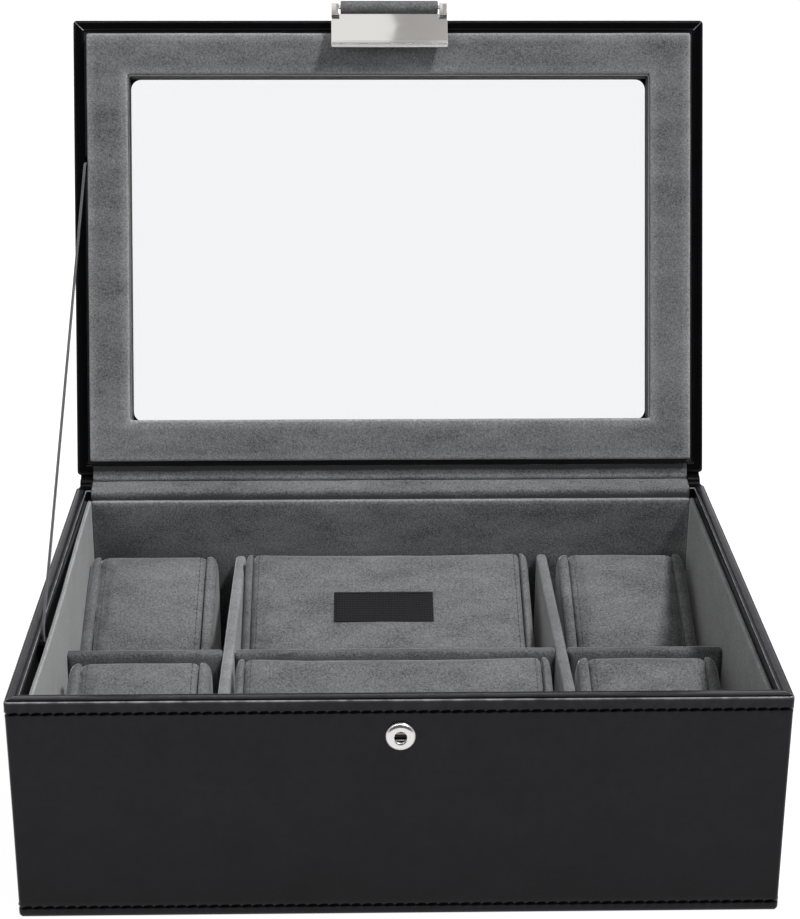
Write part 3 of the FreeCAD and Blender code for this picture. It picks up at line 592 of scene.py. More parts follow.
def stitchTree():
    tree = bpy.data.node_groups.new("stitchRow", "GeometryNodeTree")
    tree.is_modifier = True
    sockets = {}
    for name, kind, setting in (
        ("Geometry", "NodeSocketGeometry", None), ("Pitch", "NodeSocketFloat", 0.0035),
        ("Stitch", "NodeSocketFloat", 0.0026), ("Thread", "NodeSocketFloat", 0.0003),
        ("Arch", "NodeSocketFloat", 0.0004), ("Lean", "NodeSocketFloat", 0.0),
        ("Centre", "NodeSocketVector", (0, 0, 0)), ("Seed", "NodeSocketInt", 1),
        ("Finish", "NodeSocketMaterial", None),
    ):
        socket = tree.interface.new_socket(name, in_out="INPUT", socket_type=kind)
        if setting is not None:
            socket.default_value = setting
        sockets[name] = socket.identifier
    tree.interface.new_socket("Geometry", in_out="OUTPUT", socket_type="NodeSocketGeometry")
    given = addNode(tree, "NodeGroupInput").outputs
    result = addNode(tree, "NodeGroupOutput")
    link = tree.links.new
    toCurve = addNode(tree, "GeometryNodeMeshToCurve")
    resample = addNode(tree, "GeometryNodeResampleCurve", mode="LENGTH")
    link(given["Geometry"], toCurve.inputs["Mesh"])
    link(toCurve.outputs["Curve"], resample.inputs["Curve"])
    link(given["Pitch"], resample.inputs["Length"])
    arch = addNode(tree, "GeometryNodeCurveQuadraticBezier", {"Resolution": 6})
    for name, share, lift in (("Start", -0.5, -0.6), ("Middle", 0.0, 1.0), ("End", 0.5, -0.6)):
        spot = addNode(tree, "ShaderNodeCombineXYZ")
        link(combine(tree, "MULTIPLY", given["Stitch"], share), spot.inputs["X"])
        link(combine(tree, "MULTIPLY", given["Arch"], lift), spot.inputs["Z"])
        link(spot.outputs[0], arch.inputs[name])
    section = addNode(tree, "GeometryNodeCurvePrimitiveCircle", {"Resolution": 6})
    link(given["Thread"], section.inputs["Radius"])
    sweepThread = addNode(tree, "GeometryNodeCurveToMesh", {"Fill Caps": True})
    link(arch.outputs[0], sweepThread.inputs["Curve"])
    link(section.outputs["Curve"], sweepThread.inputs["Profile Curve"])
    away = addNode(tree, "ShaderNodeVectorMath", operation="SUBTRACT")
    link(addNode(tree, "GeometryNodeInputPosition").outputs[0], away.inputs[0])
    link(given["Centre"], away.inputs[1])
    along = addNode(tree, "FunctionNodeAlignRotationToVector", axis="X")
    link(addNode(tree, "GeometryNodeInputTangent").outputs[0], along.inputs["Vector"])
    facing = addNode(tree, "FunctionNodeAlignRotationToVector", axis="Z", pivot_axis="X")
    link(along.outputs[0], facing.inputs["Rotation"])
    link(away.outputs[0], facing.inputs["Vector"])
    sway = addNode(tree, "FunctionNodeRandomValue", data_type="FLOAT")
    for socket in sway.inputs:
        if socket.type == "VALUE" and socket.name in stitchSway:
            socket.default_value = stitchSway[socket.name]
    link(given["Seed"], sway.inputs["Seed"])
    lean = addNode(tree, "ShaderNodeCombineXYZ")
    swayTurn = next(socket for socket in sway.outputs if socket.type == "VALUE")
    link(combine(tree, "ADD", given["Lean"], swayTurn), lean.inputs["Z"])
    turned = addNode(tree, "FunctionNodeRotateRotation", rotation_space="LOCAL")
    leanTurn = addNode(tree, "FunctionNodeEulerToRotation")
    link(lean.outputs[0], leanTurn.inputs[0])
    link(facing.outputs[0], turned.inputs["Rotation"])
    link(leanTurn.outputs[0], turned.inputs["Rotate By"])
    place = addNode(tree, "GeometryNodeInstanceOnPoints")
    link(resample.outputs["Curve"], place.inputs["Points"])
    link(sweepThread.outputs["Mesh"], place.inputs["Instance"])
    link(turned.outputs[0], place.inputs["Rotation"])
    realize = addNode(tree, "GeometryNodeRealizeInstances")
    finish = addNode(tree, "GeometryNodeSetMaterial")
    link(place.outputs["Instances"], realize.inputs["Geometry"])
    link(realize.outputs["Geometry"], finish.inputs["Geometry"])
    link(given["Finish"], finish.inputs["Material"])
    link(finish.outputs["Geometry"], result.inputs[0])
    return tree, sockets


stitchNodes, stitchSockets = stitchTree()


# Rows of (points, centre) sewn with one thread, joined into one plain mesh
def sewRows(name, rows, material, seed, **sizes):
    shape = bmesh.new()
    for index, (line, centre) in enumerate(rows):
        mesh = bpy.data.meshes.new(name)
        mesh.from_pydata([Vector(p) * mm for p in line], [(i, i + 1) for i in range(len(line) - 1)], [])
        row = addObject(name, mesh)
        modifier = row.modifiers.new("stitches", "NODES")
        modifier.node_group = stitchNodes
        for key, size in sizes.items():
            modifier[stitchSockets[key]] = size * mm if key != "Lean" else size
        modifier[stitchSockets["Centre"]] = tuple(Vector(centre) * mm)
        modifier[stitchSockets["Seed"]] = seed + index
        modifier[stitchSockets["Finish"]] = material
        baked = finalMesh(row)
        shape.from_mesh(baked)
        bpy.data.objects.remove(row)
        bpy.data.meshes.remove(mesh)
        bpy.data.meshes.remove(baked)
    sewn = bpy.data.meshes.new(name)
    shape.to_mesh(sewn)
    shape.free()
    finishMesh(sewn, material, 60)
    return addObject(name, sewn)


# Leather of the base: outer wall with a stitched hem above and below, rim, and turn-in
baseWrap = {
    "round": 1.5, "corner": 5, "frontTop": 79.7, "frontRimShade": 0.0, "frontDeep": 6, "frontGap": 0.4,
    # in from the outer face, height, share of wear and painted light (above 1 a painted highlight line)
    # Outer wall: face lightened as painted light, most in the band between the top stitches and the rim
    "outside": ((0.45, 0.4, 0.5), (0.08, 0.9, 0.6), (0.0, 1.6, 0.4), (0.0, 3.0, 0.3), (0.34, 3.7, 0.0),
                (0.08, 4.4, 0.35), (0.12, 6.0, 0.22), (0.2, 40.0, 0.45), (0.12, 73.4, 0.5), (0.06, 74.3, 0.5),
                (0.36, 75.1, 0.0), (0.02, 75.9, 0.65), (0.0, 76.6, 0.7)),
    # Rim: painted highlight lines on its lower front roll and inner bead, its flat top lightened as a painted
    # reflection
    "rim": ((0.0, 78.5, 0.7), (0.05, 78.9, 1.1), (0.22, 79.3, 1.9), (0.44, 79.45, 1.4), (0.62, 79.4, 0.0),
            (0.95, 79.4, 0.0), (1.0, 79.75, 0.2), (1.25, 79.95, 0.7), (1.8, 80.0, 0.8), (3.3, 79.97, 0.8),
            (3.62, 79.82, 0.2), (3.86, 79.8, 0.0), (4.2, 79.9, 0.5), (4.5, 79.8, 2.0), (4.74, 79.45, 0.3),
            (4.8, 78.8, 0.0)),
    "turnIn": ((4.8, 71.0, 0.0), (4.22, 71.0, 0.0), (4.22, 79.0, 0.0), (1.02, 79.0, 0.0), (1.02, 0.4, 0.0)),
    "backTop": ((0.02, 78.9, 0.0), (1.02, 79.0, 0.0), (1.02, 0.4, 0.0)),
}


leastRound = 0.02  # a corner never comes to a point


# Open path round the left, front and right, in from the outer faces, ending at the back hinge lining
def threeSides(low, high, inset, endX, radius, steps):
    r = max(radius - inset, leastRound)
    left, right, front, back = low[0] + inset, high[0] - inset, low[1] + inset, high[1] - inset
    path = [(-endX, back)]
    path += cornerArc((left + r, back - r), r, 90, 180, steps)
    path += cornerArc((left + r, front + r), r, 180, 270, steps)
    path += cornerArc((right - r, front + r), r, 270, 360, steps)
    path += cornerArc((right - r, back - r), r, 0, 90, steps)
    return path + [(endX, back)]


def sweepSides(profile, pathOf):
    rings = [[(x, y, z) for x, y in pathOf(inset)] for inset, z, _ in profile]
    count = len(rings[0])
    points, faces = loft(rings, ringClosed=False, endless=True)
    faces.append(tuple(i * count for i in range(len(rings))))
    faces.append(tuple(i * count + count - 1 for i in reversed(range(len(rings)))))
    wornAndLit = [share for _, _, share in profile for _ in range(count)]
    return points, faces, wornAndLit


def makeBaseWrap():
    low, high = nodeBox("base_wrap")
    endX = nodeBox("hinge_lining_lid")[1].x
    profile = baseWrap["outside"] + baseWrap["rim"] + baseWrap["turnIn"]
    around = sweepSides(profile, lambda inset: threeSides(
        low, high, inset, endX, baseWrap["round"], baseWrap["corner"]))
    # Front rim's top loses its lightening: painted shade against the lighter side rim tops
    for index, (x, y, z) in enumerate(around[0]):
        ahead = y < low.y + baseWrap["frontDeep"] and abs(x) < high.x - y + low.y - baseWrap["frontGap"]
        if z > baseWrap["frontTop"] and ahead:
            around[2][index] *= baseWrap["frontRimShade"]
    backProfile = baseWrap["outside"] + baseWrap["backTop"]
    backRings = [[(x, high.y - inset, z) for inset, z, _ in backProfile]
                 for x in (-endX, -endX / 3, endX / 3, endX)]
    backWornAndLit = [share for _ in backRings for _, _, share in backProfile]
    points, faces, wornAndLit = joinShapes(around, (*loft(backRings), backWornAndLit))
    settle(makePiece("baseLeather", points, faces, leather, wornAndLit=wornAndLit), "base", "black_leather", "base_wrap")


hemStitches = {"Pitch": 3.55, "Stitch": 2.6, "Thread": 0.42, "Arch": 0.45, "Lean": 0.2}
hemRows = {"heights": (75.1, 3.7), "setIn": 0.12, "ends": 3.0, "far": 9e4, "seed": 11}


def sewBaseHems():
    low, high = nodeBox("base_wrap")
    deep, ends, far = hemRows["setIn"], hemRows["ends"], hemRows["far"]
    rows = []
    for z in hemRows["heights"]:
        rows.append((((low.x + ends, low.y + deep, z), (high.x - ends, low.y + deep, z)), (0, far, z)))
        rows.append((((high.x - deep, low.y + ends, z), (high.x - deep, high.y - ends, z)), (-far, 0, z)))
        rows.append((((low.x + deep, high.y - ends, z), (low.x + deep, low.y + ends, z)), (far, 0, z)))
    z = hemRows["heights"][1]
    rows.append((((high.x - ends, high.y - deep, z), (low.x + ends, high.y - deep, z)), (0, -far, z)))
    settle(sewRows("baseHemStitches", rows, thread, hemRows["seed"], **hemStitches), "base", "black_leather")


makeBaseWrap()
sewBaseHems()
print("base leather sewn")


# Velvet board: rounded slab with a slight pillow, thin along one axis, lighter along its rounded edges as painted
# sheen, and each piece's tone shifted lighter or darker as painted light and shade
board = {"round": 0.75, "pillow": 0.18, "cut": 7.0, "waver": 0.12, "waverSize": 24.0, "seedStep": 3.1, "sharp": 50,
         # Shoulder and edge-turn shares: painted sheen along the rounded edges
         "shoulder": ((6.0, 1.0, 0.0), (2.2, 0.5, 0.1)), "turns": ((0, 0.6), (30, 1.0), (60, 1.0), (90, 0.6)),
         "mostInset": 0.45, "corner": 0.9, "cornerLoss": 0.2, "cornerLeast": 0.3, "cornerSteps": 3,
         # Whole-piece tone shifts: painted light on the lit left lining and divider, painted sheen on the right
         # lining, painted shade on the back lining
         "brushedAndLit": {"lining_left": 0.4, "lining_right": 0.22, "lining_back": -0.12, "divider_left": 0.35}}


def velvetBoard(low, high, thin, rounding=None, pillow=None, bend=None, wearAndLight=1.0, brushedAndLit=0.0, seed=0.0):
    rounding = board["round"] if rounding is None else rounding
    pillow = board["pillow"] if pillow is None else pillow
    wide = [axis for axis in range(3) if axis != thin]
    flatLow, flatHigh = [low[a] for a in wide], [high[a] for a in wide]
    spans = [flatHigh[i] - flatLow[i] for i in (0, 1)]
    cuts = [max(1, round(span / board["cut"])) for span in spans]
    thick = high[thin] - low[thin]
    half = min(rounding, thick / 2)
    near = [(inset, -pillow * swell, share) for inset, swell, share in board["shoulder"]]
    for degrees, share in board["turns"]:
        turn = math.radians(degrees)
        near.append((half * (1 - math.sin(turn)), half * (1 - math.cos(turn)), share))
    far = [(inset, thick - depth, share) for inset, depth, share in reversed(near)]
    rings, wornAndLit = [], []
    for inset, depth, share in near + far:
        inset = min(inset, board["mostInset"] * min(spans))
        radius = max(board["corner"] - inset * board["cornerLoss"], board["cornerLeast"])
        ring = rectRing((flatLow[0] + inset, flatLow[1] + inset), (flatHigh[0] - inset, flatHigh[1] - inset),
                        radius, board["cornerSteps"], cuts)
        placed = []
        for u, v in ring:
            spot = [0.0, 0.0, 0.0]
            spot[wide[0]], spot[wide[1]], spot[thin] = u, v, low[thin] + depth
            if bend:
                spot = bend(spot)
            spot[thin] += wobble(spot, board["waverSize"], board["waver"], seed)
            placed.append(tuple(spot))
        rings.append(placed)
        # Painted edge sheen times the piece's share, plus the piece's painted light shift
        wornAndLit += [share * wearAndLight + brushedAndLit] * len(ring)
    points, faces = loft(rings)
    return points, faces, wornAndLit


def layVelvet(name, node, shape):
    points, faces, wornAndLit = shape
    settle(makePiece(name, points, faces, velvet, wornAndLit=wornAndLit, sharp=board["sharp"]), "base", "grey_velvet", node)


tug = {"spread": 80.0, "depth": 18.0, "pull": 1.6}  # left lining drawn in by the stay


def tuggedLining(spot):
    y, z = stay["route"][-1][1], nodeBox("lining_left")[1].z
    share = math.exp(-((spot[1] - y) / tug["spread"]) ** 2) * max(0.0, 1 - (z - spot[2]) / tug["depth"])
    return [spot[0] + tug["pull"] * share, spot[1], spot[2]]


linings = (("lining_front", 1), ("lining_back", 1), ("lining_left", 0), ("lining_right", 0), ("lining_floor", 2))
# Dividers: painted sheen along the side dividers' rounded edges, painted shade darkening the cross divider's rounded
# top
divider = {"round": 1.5, "crossRound": 1.6, "pillow": 0.1, "wearAndLight": 0.35, "crossShade": -0.45, "gap": 0.1}


def makeLinings():
    brushedAndLit = board["brushedAndLit"]
    for index, (node, thin) in enumerate(linings):
        bend = tuggedLining if node == "lining_left" else None
        layVelvet(pieceName("velvet", node.split("_")[1]), node, velvetBoard(
            *nodeBox(node), thin, bend=bend, brushedAndLit=brushedAndLit.get(node, 0.0), seed=index * board["seedStep"]))
    for node in ("divider_left", "divider_right"):
        layVelvet(pieceName("velvet", node), node, velvetBoard(
            *nodeBox(node), 0, rounding=divider["round"], pillow=divider["pillow"], wearAndLight=divider["wearAndLight"],
            brushedAndLit=brushedAndLit.get(node, 0.0), seed=len(node)))
    low, high = nodeBox("divider_cross")
    sides = nodeBox("divider_left"), nodeBox("divider_right")
    stretches = ((low.x, sides[0][0].x), (sides[0][1].x, sides[1][0].x), (sides[1][1].x, high.x))
    gap = divider["gap"]
    shapes = [velvetBoard((a + gap, low.y, low.z), (b - gap, high.y, high.z), 1, rounding=divider["crossRound"],
                          pillow=divider["pillow"], wearAndLight=divider["crossShade"], seed=a) for a, b in stretches]
    layVelvet("velvetDividerCross", "divider_cross", joinShapes(*shapes))


makeLinings()
print("linings and dividers laid")


# Cushions: filled velvet wedges with sewn-on cheeks
cushion = {"depth": 62.0, "back": 53.6, "front": 26.0, "round": 4.5, "foot": 2.5, "crown": 1.6, "sag": 0.5,
           "arc": 7, "edge": 12, "draw": 1.0, "drawLength": 1.8, "endTurns": (90, 68, 46, 22, 0), "endCrown": 0.6,
           "slice": 4.5, "shrink": 0.3, "voxel": 1.7, "pressure": 4.0, "stiffness": 40, "frames": 20, "cap": 0.8,
           "footReach": 1.5, "heart": 0.6, "crease": 0.22, "creaseSize": 17.0, "endCrease": 0.6, "endSize": 5.0,
           "endReach": 4.5, "stillFoot": 8, "seeds": (7.3, 0.11, 0.07), "fill": 0.85}
cheek = {"section": ((0.0, 1.1), (0.04, 0.65), (0.12, 0.45), (0.35, 0.45), (0.55, 0.65), (0.72, 1.0), (0.85, 1.55),
                     (0.94, 2.2), (0.985, 2.8), (1.0, 3.4)),
         "crown": 0.5, "dome": 0.35, "domeRings": ((0.6, 5.5), (1.0, 12.0)), "crease": 0.15,
         "creaseSizes": (13.0, 11.0)}
seamStitches = {"Pitch": 2.4, "Stitch": 1.7, "Thread": 0.16, "Arch": 0.22, "Lean": 0.0}
seamRow = {"setIn": 2.5, "lift": 0.12, "outside": 4.0, "from": 6, "seed": 41}


# Section through a cushion in (y, z) from its lower back corner, drawn in by an inset
def cushionSection(inset, crown):
    depth, back, front = cushion["depth"], cushion["back"], cushion["front"]
    corners = [Vector((0, 0)), Vector((-depth, 0)), Vector((-depth, front)), Vector((0, back))]
    radii = [cushion["foot"], cushion["foot"], cushion["round"], cushion["round"]]
    bulges = [0, cushion["sag"], crown, cushion["sag"]]
    lines = []
    for a, b in zip(corners, corners[1:] + corners[:1]):
        along = (b - a).normalized()
        inward = Vector((along.y, -along.x))
        lines.append((a + inward * inset, along))
    drawn = []
    for (p, u), (q, v) in zip(lines[-1:] + lines[:-1], lines):
        share = ((q - p).x * v.y - (q - p).y * v.x) / (u.x * v.y - u.y * v.x)
        drawn.append(p + u * share)
    arcs = []
    for index, corner in enumerate(drawn):
        came, on = (drawn[index - 1] - corner).normalized(), (drawn[(index + 1) % 4] - corner).normalized()
        half = came.angle(on) / 2
        reach = radii[index] / math.tan(half)
        centre = corner + (came + on).normalized() * (radii[index] / math.sin(half))
        start, end = corner + came * reach - centre, corner + on * reach - centre
        sweep = start.angle_signed(end)
        arcs.append([centre + Matrix.Rotation(-sweep * k / cushion["arc"], 2) @ start
                     for k in range(cushion["arc"] + 1)])
    ring = []
    for index, arc in enumerate(arcs):
        ring += arc
        start, end = arc[-1], arcs[(index + 1) % 4][0]
        out = Vector((-(end - start).y, (end - start).x)).normalized()
        for k in range(1, cushion["edge"]):
            share = k / cushion["edge"]
            ring.append(start.lerp(end, share) + out * bulges[index] * 4 * share * (1 - share))
    return ring


def cushionBody(half):
    draw, reach, least = cushion["draw"], cushion["drawLength"], cushion["endCrown"]
    stations = []
    for degrees in cushion["endTurns"]:
        turn = math.radians(degrees)
        stations.append((-half + reach * (1 - math.sin(turn)), draw * (1 - math.cos(turn)), least))
    ends = stations[:]
    inner = half - reach
    steps = max(4, round(2 * inner / cushion["slice"]))
    for k in range(1, steps):
        x = -inner + 2 * inner * k / steps
        stations.append((x, 0, least + (1 - least) * (1 - (x / inner) ** 2)))
    stations += [(-x, inset, share) for x, inset, share in reversed(ends)]
    return [[(x, p.x, p.y) for p in cushionSection(inset + cushion["shrink"], cushion["crown"] * share)]
            for x, inset, share in stations]


# Fill one body by cloth under pressure, standing on its flat foot
def fillBody(name, half):
    points, faces = loft(cushionBody(half))
    thing = makePiece(name, points, faces, velvet)
    remesh = thing.modifiers.new("even", "REMESH")
    remesh.mode = "VOXEL"
    remesh.voxel_size = cushion["voxel"] * mm
    even = finalMesh(thing)
    thing.modifiers.clear()
    thing.data = even
    rest = [v.co.copy() for v in even.vertices]
    foot = min(p.z for p in rest)
    group = thing.vertex_groups.new(name="foot")
    group.add([i for i, p in enumerate(rest) if p.z < foot + cushion["footReach"] * mm], 1.0, "REPLACE")
    cloth = thing.modifiers.new("fill", "CLOTH")
    cloth.settings.use_pressure = True
    cloth.settings.uniform_pressure_force = cushion["pressure"]
    cloth.settings.effector_weights.gravity = 0
    cloth.settings.vertex_group_mass = "foot"
    cloth.settings.tension_stiffness = cloth.settings.compression_stiffness = cushion["stiffness"]
    cloth.point_cache.frame_end = cushion["frames"]
    for step in range(1, cushion["frames"] + 1):
        scene.frame_set(step)
    full = finalMesh(thing)
    moved = []
    for start, vertex in zip(rest, full.vertices):
        shift = vertex.co - start
        moved.append(start + shift * min(1.0, cushion["cap"] * mm / max(shift.length, 1e-9)))
    thing.modifiers.clear()
    scene.frame_set(1)
    points = [p / mm for p in moved]
    faces = [tuple(p.vertices) for p in full.polygons]
    bpy.data.meshes.remove(full)
    mesh = thing.data
    bpy.data.objects.remove(thing)
    bpy.data.meshes.remove(mesh)
    return [Vector(p) for p in points], faces


def cheekShape(thick):
    rings = [[(thick * share, p.x, p.y) for p in cushionSection(inset, cushion["crown"] * cheek["crown"])]
             for share, inset in cheek["section"]]
    for share, inset in cheek["domeRings"]:
        rings.append([(thick + cheek["dome"] * share, p.x, p.y) for p in cushionSection(inset, 0.0)])
    return rings


# How freely a point moves, from none at the foot to all above it
def loose(z):
    return min(1.0, max(0.0, z / cushion["stillFoot"]))


def creased(points, place, half, seed):
    moved = []
    for p in points:
        nearEnd = math.exp(-((half - abs(p.x)) / cushion["endReach"]) ** 2)
        crease = cushion["crease"] * (wobble(p, cushion["creaseSize"], 1.0, seed) + cushion["endCrease"] * nearEnd
                                      * wobble(p, cushion["endSize"], 1.0, seed))
        away = Vector((0, p.y + cushion["depth"] / 2, p.z - cushion["front"] * cushion["heart"])).normalized()
        moved.append(place + p + away * crease * loose(p.z))
    return moved


def addCheeks(node, place, seed):
    (low, _), (bodyLow, bodyHigh) = nodeBox(node + "_cheeks"), nodeBox(node)
    flat, tall = cheek["creaseSizes"]
    for name, side, start in (("left", -1, bodyLow.x), ("right", 1, bodyHigh.x)):
        rings = [[(start + side * x, place.y + y + wobble((x, y, z), flat, cheek["crease"], seed),
                   place.z + z + loose(z) * wobble((z, x, y), tall, cheek["crease"], seed))
                  for x, y, z in ring] for ring in cheekShape(bodyLow.x - low.x)]
        pad = makePiece(pieceName("velvet", f"{node}_cheek_{name}"), *loft(rings), velvet, sharp=180)
        settle(pad, node, "grey_velvet", node + "_cheeks")


def makeCushions():
    filled = {}
    for node in (f"cushion_{row}_{column}" for row in ("rear", "front") for column in ("left", "centre", "right")):
        low, high = nodeBox(node)
        half = (high.x - low.x) / 2
        key = round(half, 1)
        if key not in filled:
            filled[key] = fillBody(node, half)
            print(f"cushion filled, {2 * half:.1f} mm long")
        place = Vector(((low.x + high.x) / 2, high.y, low.z))
        perShape, perX, perY = cushion["seeds"]
        seed = perShape * len(filled) + place.x * perX + place.y * perY
        points, faces = filled[key]
        body = makePiece(pieceName("velvet", node), creased(points, place, half, seed), faces, velvet, sharp=180)
        smooth = body.modifiers.new("soft", "SUBSURF")
        smooth.levels = smooth.render_levels = 1
        settle(body, node, "grey_velvet", node)
        addCheeks(node, place, seed)
        sewCushion(node, body, place, half)


# A fine seam near each end of a cushion, lying on its cover
def sewCushion(node, body, place, half):
    bpy.context.view_layer.update()
    tree = BVHTree.FromObject(body, bpy.context.evaluated_depsgraph_get())
    centre = place + Vector((0, -cushion["depth"] / 2, cushion["front"] * cushion["heart"]))
    rows = []
    for side in (-1, 1):
        x = place.x + side * (half - seamRow["setIn"])
        middle = Vector((x, centre.y, centre.z))
        line = []
        for p in cushionSection(-seamRow["outside"], 0.0):
            start = Vector((x, place.y + p.x, place.z + p.y))
            hit = tree.ray_cast(start * mm, (middle - start).normalized())[0]
            if hit and start.z > place.z + seamRow["from"]:
                line.append(hit / mm + (start - middle).normalized() * seamRow["lift"])
        rows.append((line, middle))
    settle(sewRows(pieceName("seam", node), rows, seamThread, seamRow["seed"], **seamStitches), node, "grey_velvet")
    if node == "cushion_rear_centre":
        makeLabel(node, tree)


# Woven label following the cover under it, with its ends turned under
label = {"across": 26, "down": 10, "thick": 0.55, "lift": 0.12, "under": 0.3, "turn": 0.35, "margin": 0.3, "drop": 8}


def makeLabel(node, tree):
    low, high = nodeBox("cushion_label")
    across, down, margin = label["across"], label["down"], label["margin"]
    slope = math.atan2(high.z - low.z, high.y - low.y)
    out = Vector((0, -math.sin(slope), math.cos(slope)))
    top, bottom = [], []
    for j in range(down + 1):
        for i in range(across + 1):
            u, v = i / across, j / down
            spot = Vector((low.x + (high.x - low.x) * u, low.y + margin + (high.y - low.y - 2 * margin) * v,
                           low.z + (high.z - low.z) * v))
            hit = tree.ray_cast((spot + out * label["drop"]) * mm, -out)[0]
            seat = hit / mm if hit else spot
            rim = i in (0, across) or j in (0, down)
            top.append(seat + out * (label["lift"] + label["thick"] * (label["turn"] if rim else 1.0)))
            bottom.append(seat + out * label["lift"] * label["under"])
    wide = across + 1
    points, faces = top + bottom, []
    for j in range(down):
        for i in range(across):
            a = j * wide + i
            faces.append((a, a + 1, a + wide + 1, a + wide))
            faces.append(tuple(k + len(top) for k in (a + wide, a + wide + 1, a + 1, a)))
    edge = list(range(wide)) + [j * wide + across for j in range(1, down + 1)]
    edge += [down * wide + i for i in range(across - 1, -1, -1)] + [j * wide for j in range(down - 1, 0, -1)]
    for a, b in zip(edge, edge[1:] + edge[:1]):
        faces.append((b, a, a + len(top), b + len(top)))
    settle(makePiece("wovenLabel", points, faces, labelCloth), node, "woven_label", "cushion_label")


makeCushions()
print("cushions sewn")


# Lid leather: sides and top with the window, and the rim that meets the base
lidWrap = {
    "outerRound": 1.5, "leastRound": 0.4, "windowRound": 4.0, "windowFrom": 10, "corner": 6,
    # Shares on the outer and window edges and the rim: wear with painted highlight lines
    "shell": ((0.0, 1.3, 0.0), (0.0, 16.6, 0.0), (0.08, 17.5, 0.5), (0.35, 18.05, 1.0), (0.9, 18.28, 0.6),
              (1.8, 18.3, 0.0), (19.6, 18.3, 0.0), (20.5, 18.2, 0.5), (20.9, 17.9, 1.0), (21.0, 17.32, 0.3),
              (1.02, 17.32, 0.0), (1.02, 1.3, 0.0)),
    "rim": ((0.0, 1.3, 0.0), (0.04, 0.95, 0.2), (0.25, 0.55, 0.5), (0.7, 0.32, 0.3), (1.5, 0.3, 0.0),
            (3.0, 0.32, 0.0), (3.7, 0.42, 0.2), (4.08, 0.75, 0.4), (4.2, 1.25, 0.1), (4.2, 1.3, 0.0)),
}
lidSize = {"front": -183.0, "back": -3.0}


def makeLidWrap():
    wide = nodeBox("lid_wrap")[1].x
    low, high = Vector((-wide, lidSize["front"])), Vector((wide, lidSize["back"]))
    rings, wornAndLit = [], []
    for inset, z, share in lidWrap["shell"]:
        radius = max(lidWrap["outerRound"] - inset, lidWrap["leastRound"])
        if inset >= lidWrap["windowFrom"]:
            radius = lidWrap["windowRound"]
        ring = rectRing((low.x + inset, low.y + inset), (high.x - inset, high.y - inset), radius, lidWrap["corner"])
        rings.append([(x, y, z) for x, y in ring])
        wornAndLit += [share] * len(ring)
    shell = (*loft(rings, endless=True), wornAndLit)
    endX = nodeBox("hinge_lining_lid")[1].x
    rim = sweepSides(lidWrap["rim"], lambda inset: threeSides(
        low, high, inset, endX, lidWrap["outerRound"], lidWrap["corner"]))
    points, faces, wornAndLit = joinShapes(shell, rim)
    settle(makePiece("lidLeather", points, faces, leather, toWorld=lidToWorld, wornAndLit=wornAndLit), "lid", "black_leather",
           "lid_wrap")


# Proud velvet panel round the window
lidPanel = {
    "margin": 5.6, "corner": 0.9, "steps": 3, "sharp": 50,
    # Section shares: painted sheen along the panel's rounded edges
    "section": ((0.0, 1.3, 0.0), (0.0, -2.2, 0.4), (0.14, -2.75, 1.0), (0.5, -3.1, 1.0), (1.1, -3.25, 0.5),
                (4.0, -3.4, 0.0), (8.1, -3.45, 0.0), (12.2, -3.4, 0.0), (15.1, -3.25, 0.5), (15.7, -3.1, 1.0),
                (16.06, -2.75, 1.0), (16.2, -2.4, 0.6), (15.3, -2.3, 0.0), (15.3, 1.3, 0.0)),
    "edging": ((15.35, 1.3), (15.35, -2.2), (15.5, -2.45), (16.05, -2.45), (16.2, -2.2), (16.2, 1.3)),
    "cuts": (36, 26), "waver": 0.14, "waverWide": 30.0, "waverDeep": 26.0,
}


def panelRing(inset, cuts=(1, 1)):
    wide, m = nodeBox("lid_wrap")[1].x, lidPanel["margin"] + inset
    return rectRing((-wide + m, lidSize["front"] + m), (wide - m, lidSize["back"] - m), lidPanel["corner"],
                    lidPanel["steps"], cuts)


def makeLidPanel():
    waver, wide, deep = (lidPanel[k] for k in ("waver", "waverWide", "waverDeep"))
    rings, wornAndLit = [], []
    for inset, z, share in lidPanel["section"]:
        ring = panelRing(inset, lidPanel["cuts"])
        rings.append([(x + wobble((y, x, 3), wide, waver), y + wobble((x, y, 9), wide, waver),
                       z + (wobble((x, y, 0), deep, waver) if z < 0 else 0)) for x, y in ring])
        wornAndLit += [share] * len(ring)
    points, faces = loft(rings, endless=True)
    settle(makePiece("velvetLidPanel", points, faces, velvet, toWorld=lidToWorld, wornAndLit=wornAndLit, sharp=lidPanel["sharp"]),
           "lid", "grey_velvet", "lid_lining")
    rings = [[(x, y, z) for x, y in panelRing(inset)] for inset, z in lidPanel["edging"]]
    settle(makePiece("windowEdging", *loft(rings, endless=True), leather, toWorld=lidToWorld), "lid", "black_leather")


# Fine ridges where the leather meets at the front corners of base and lid
# Ridges carry a share above 1: a painted highlight line along each
mitre = {"wide": 0.4, "high": 0.1, "wornAndLit": 1.6, "from": 0.7, "to": 3.3, "sunk": 0.04, "lidTo": 4.0, "lidSunk": 0.34}


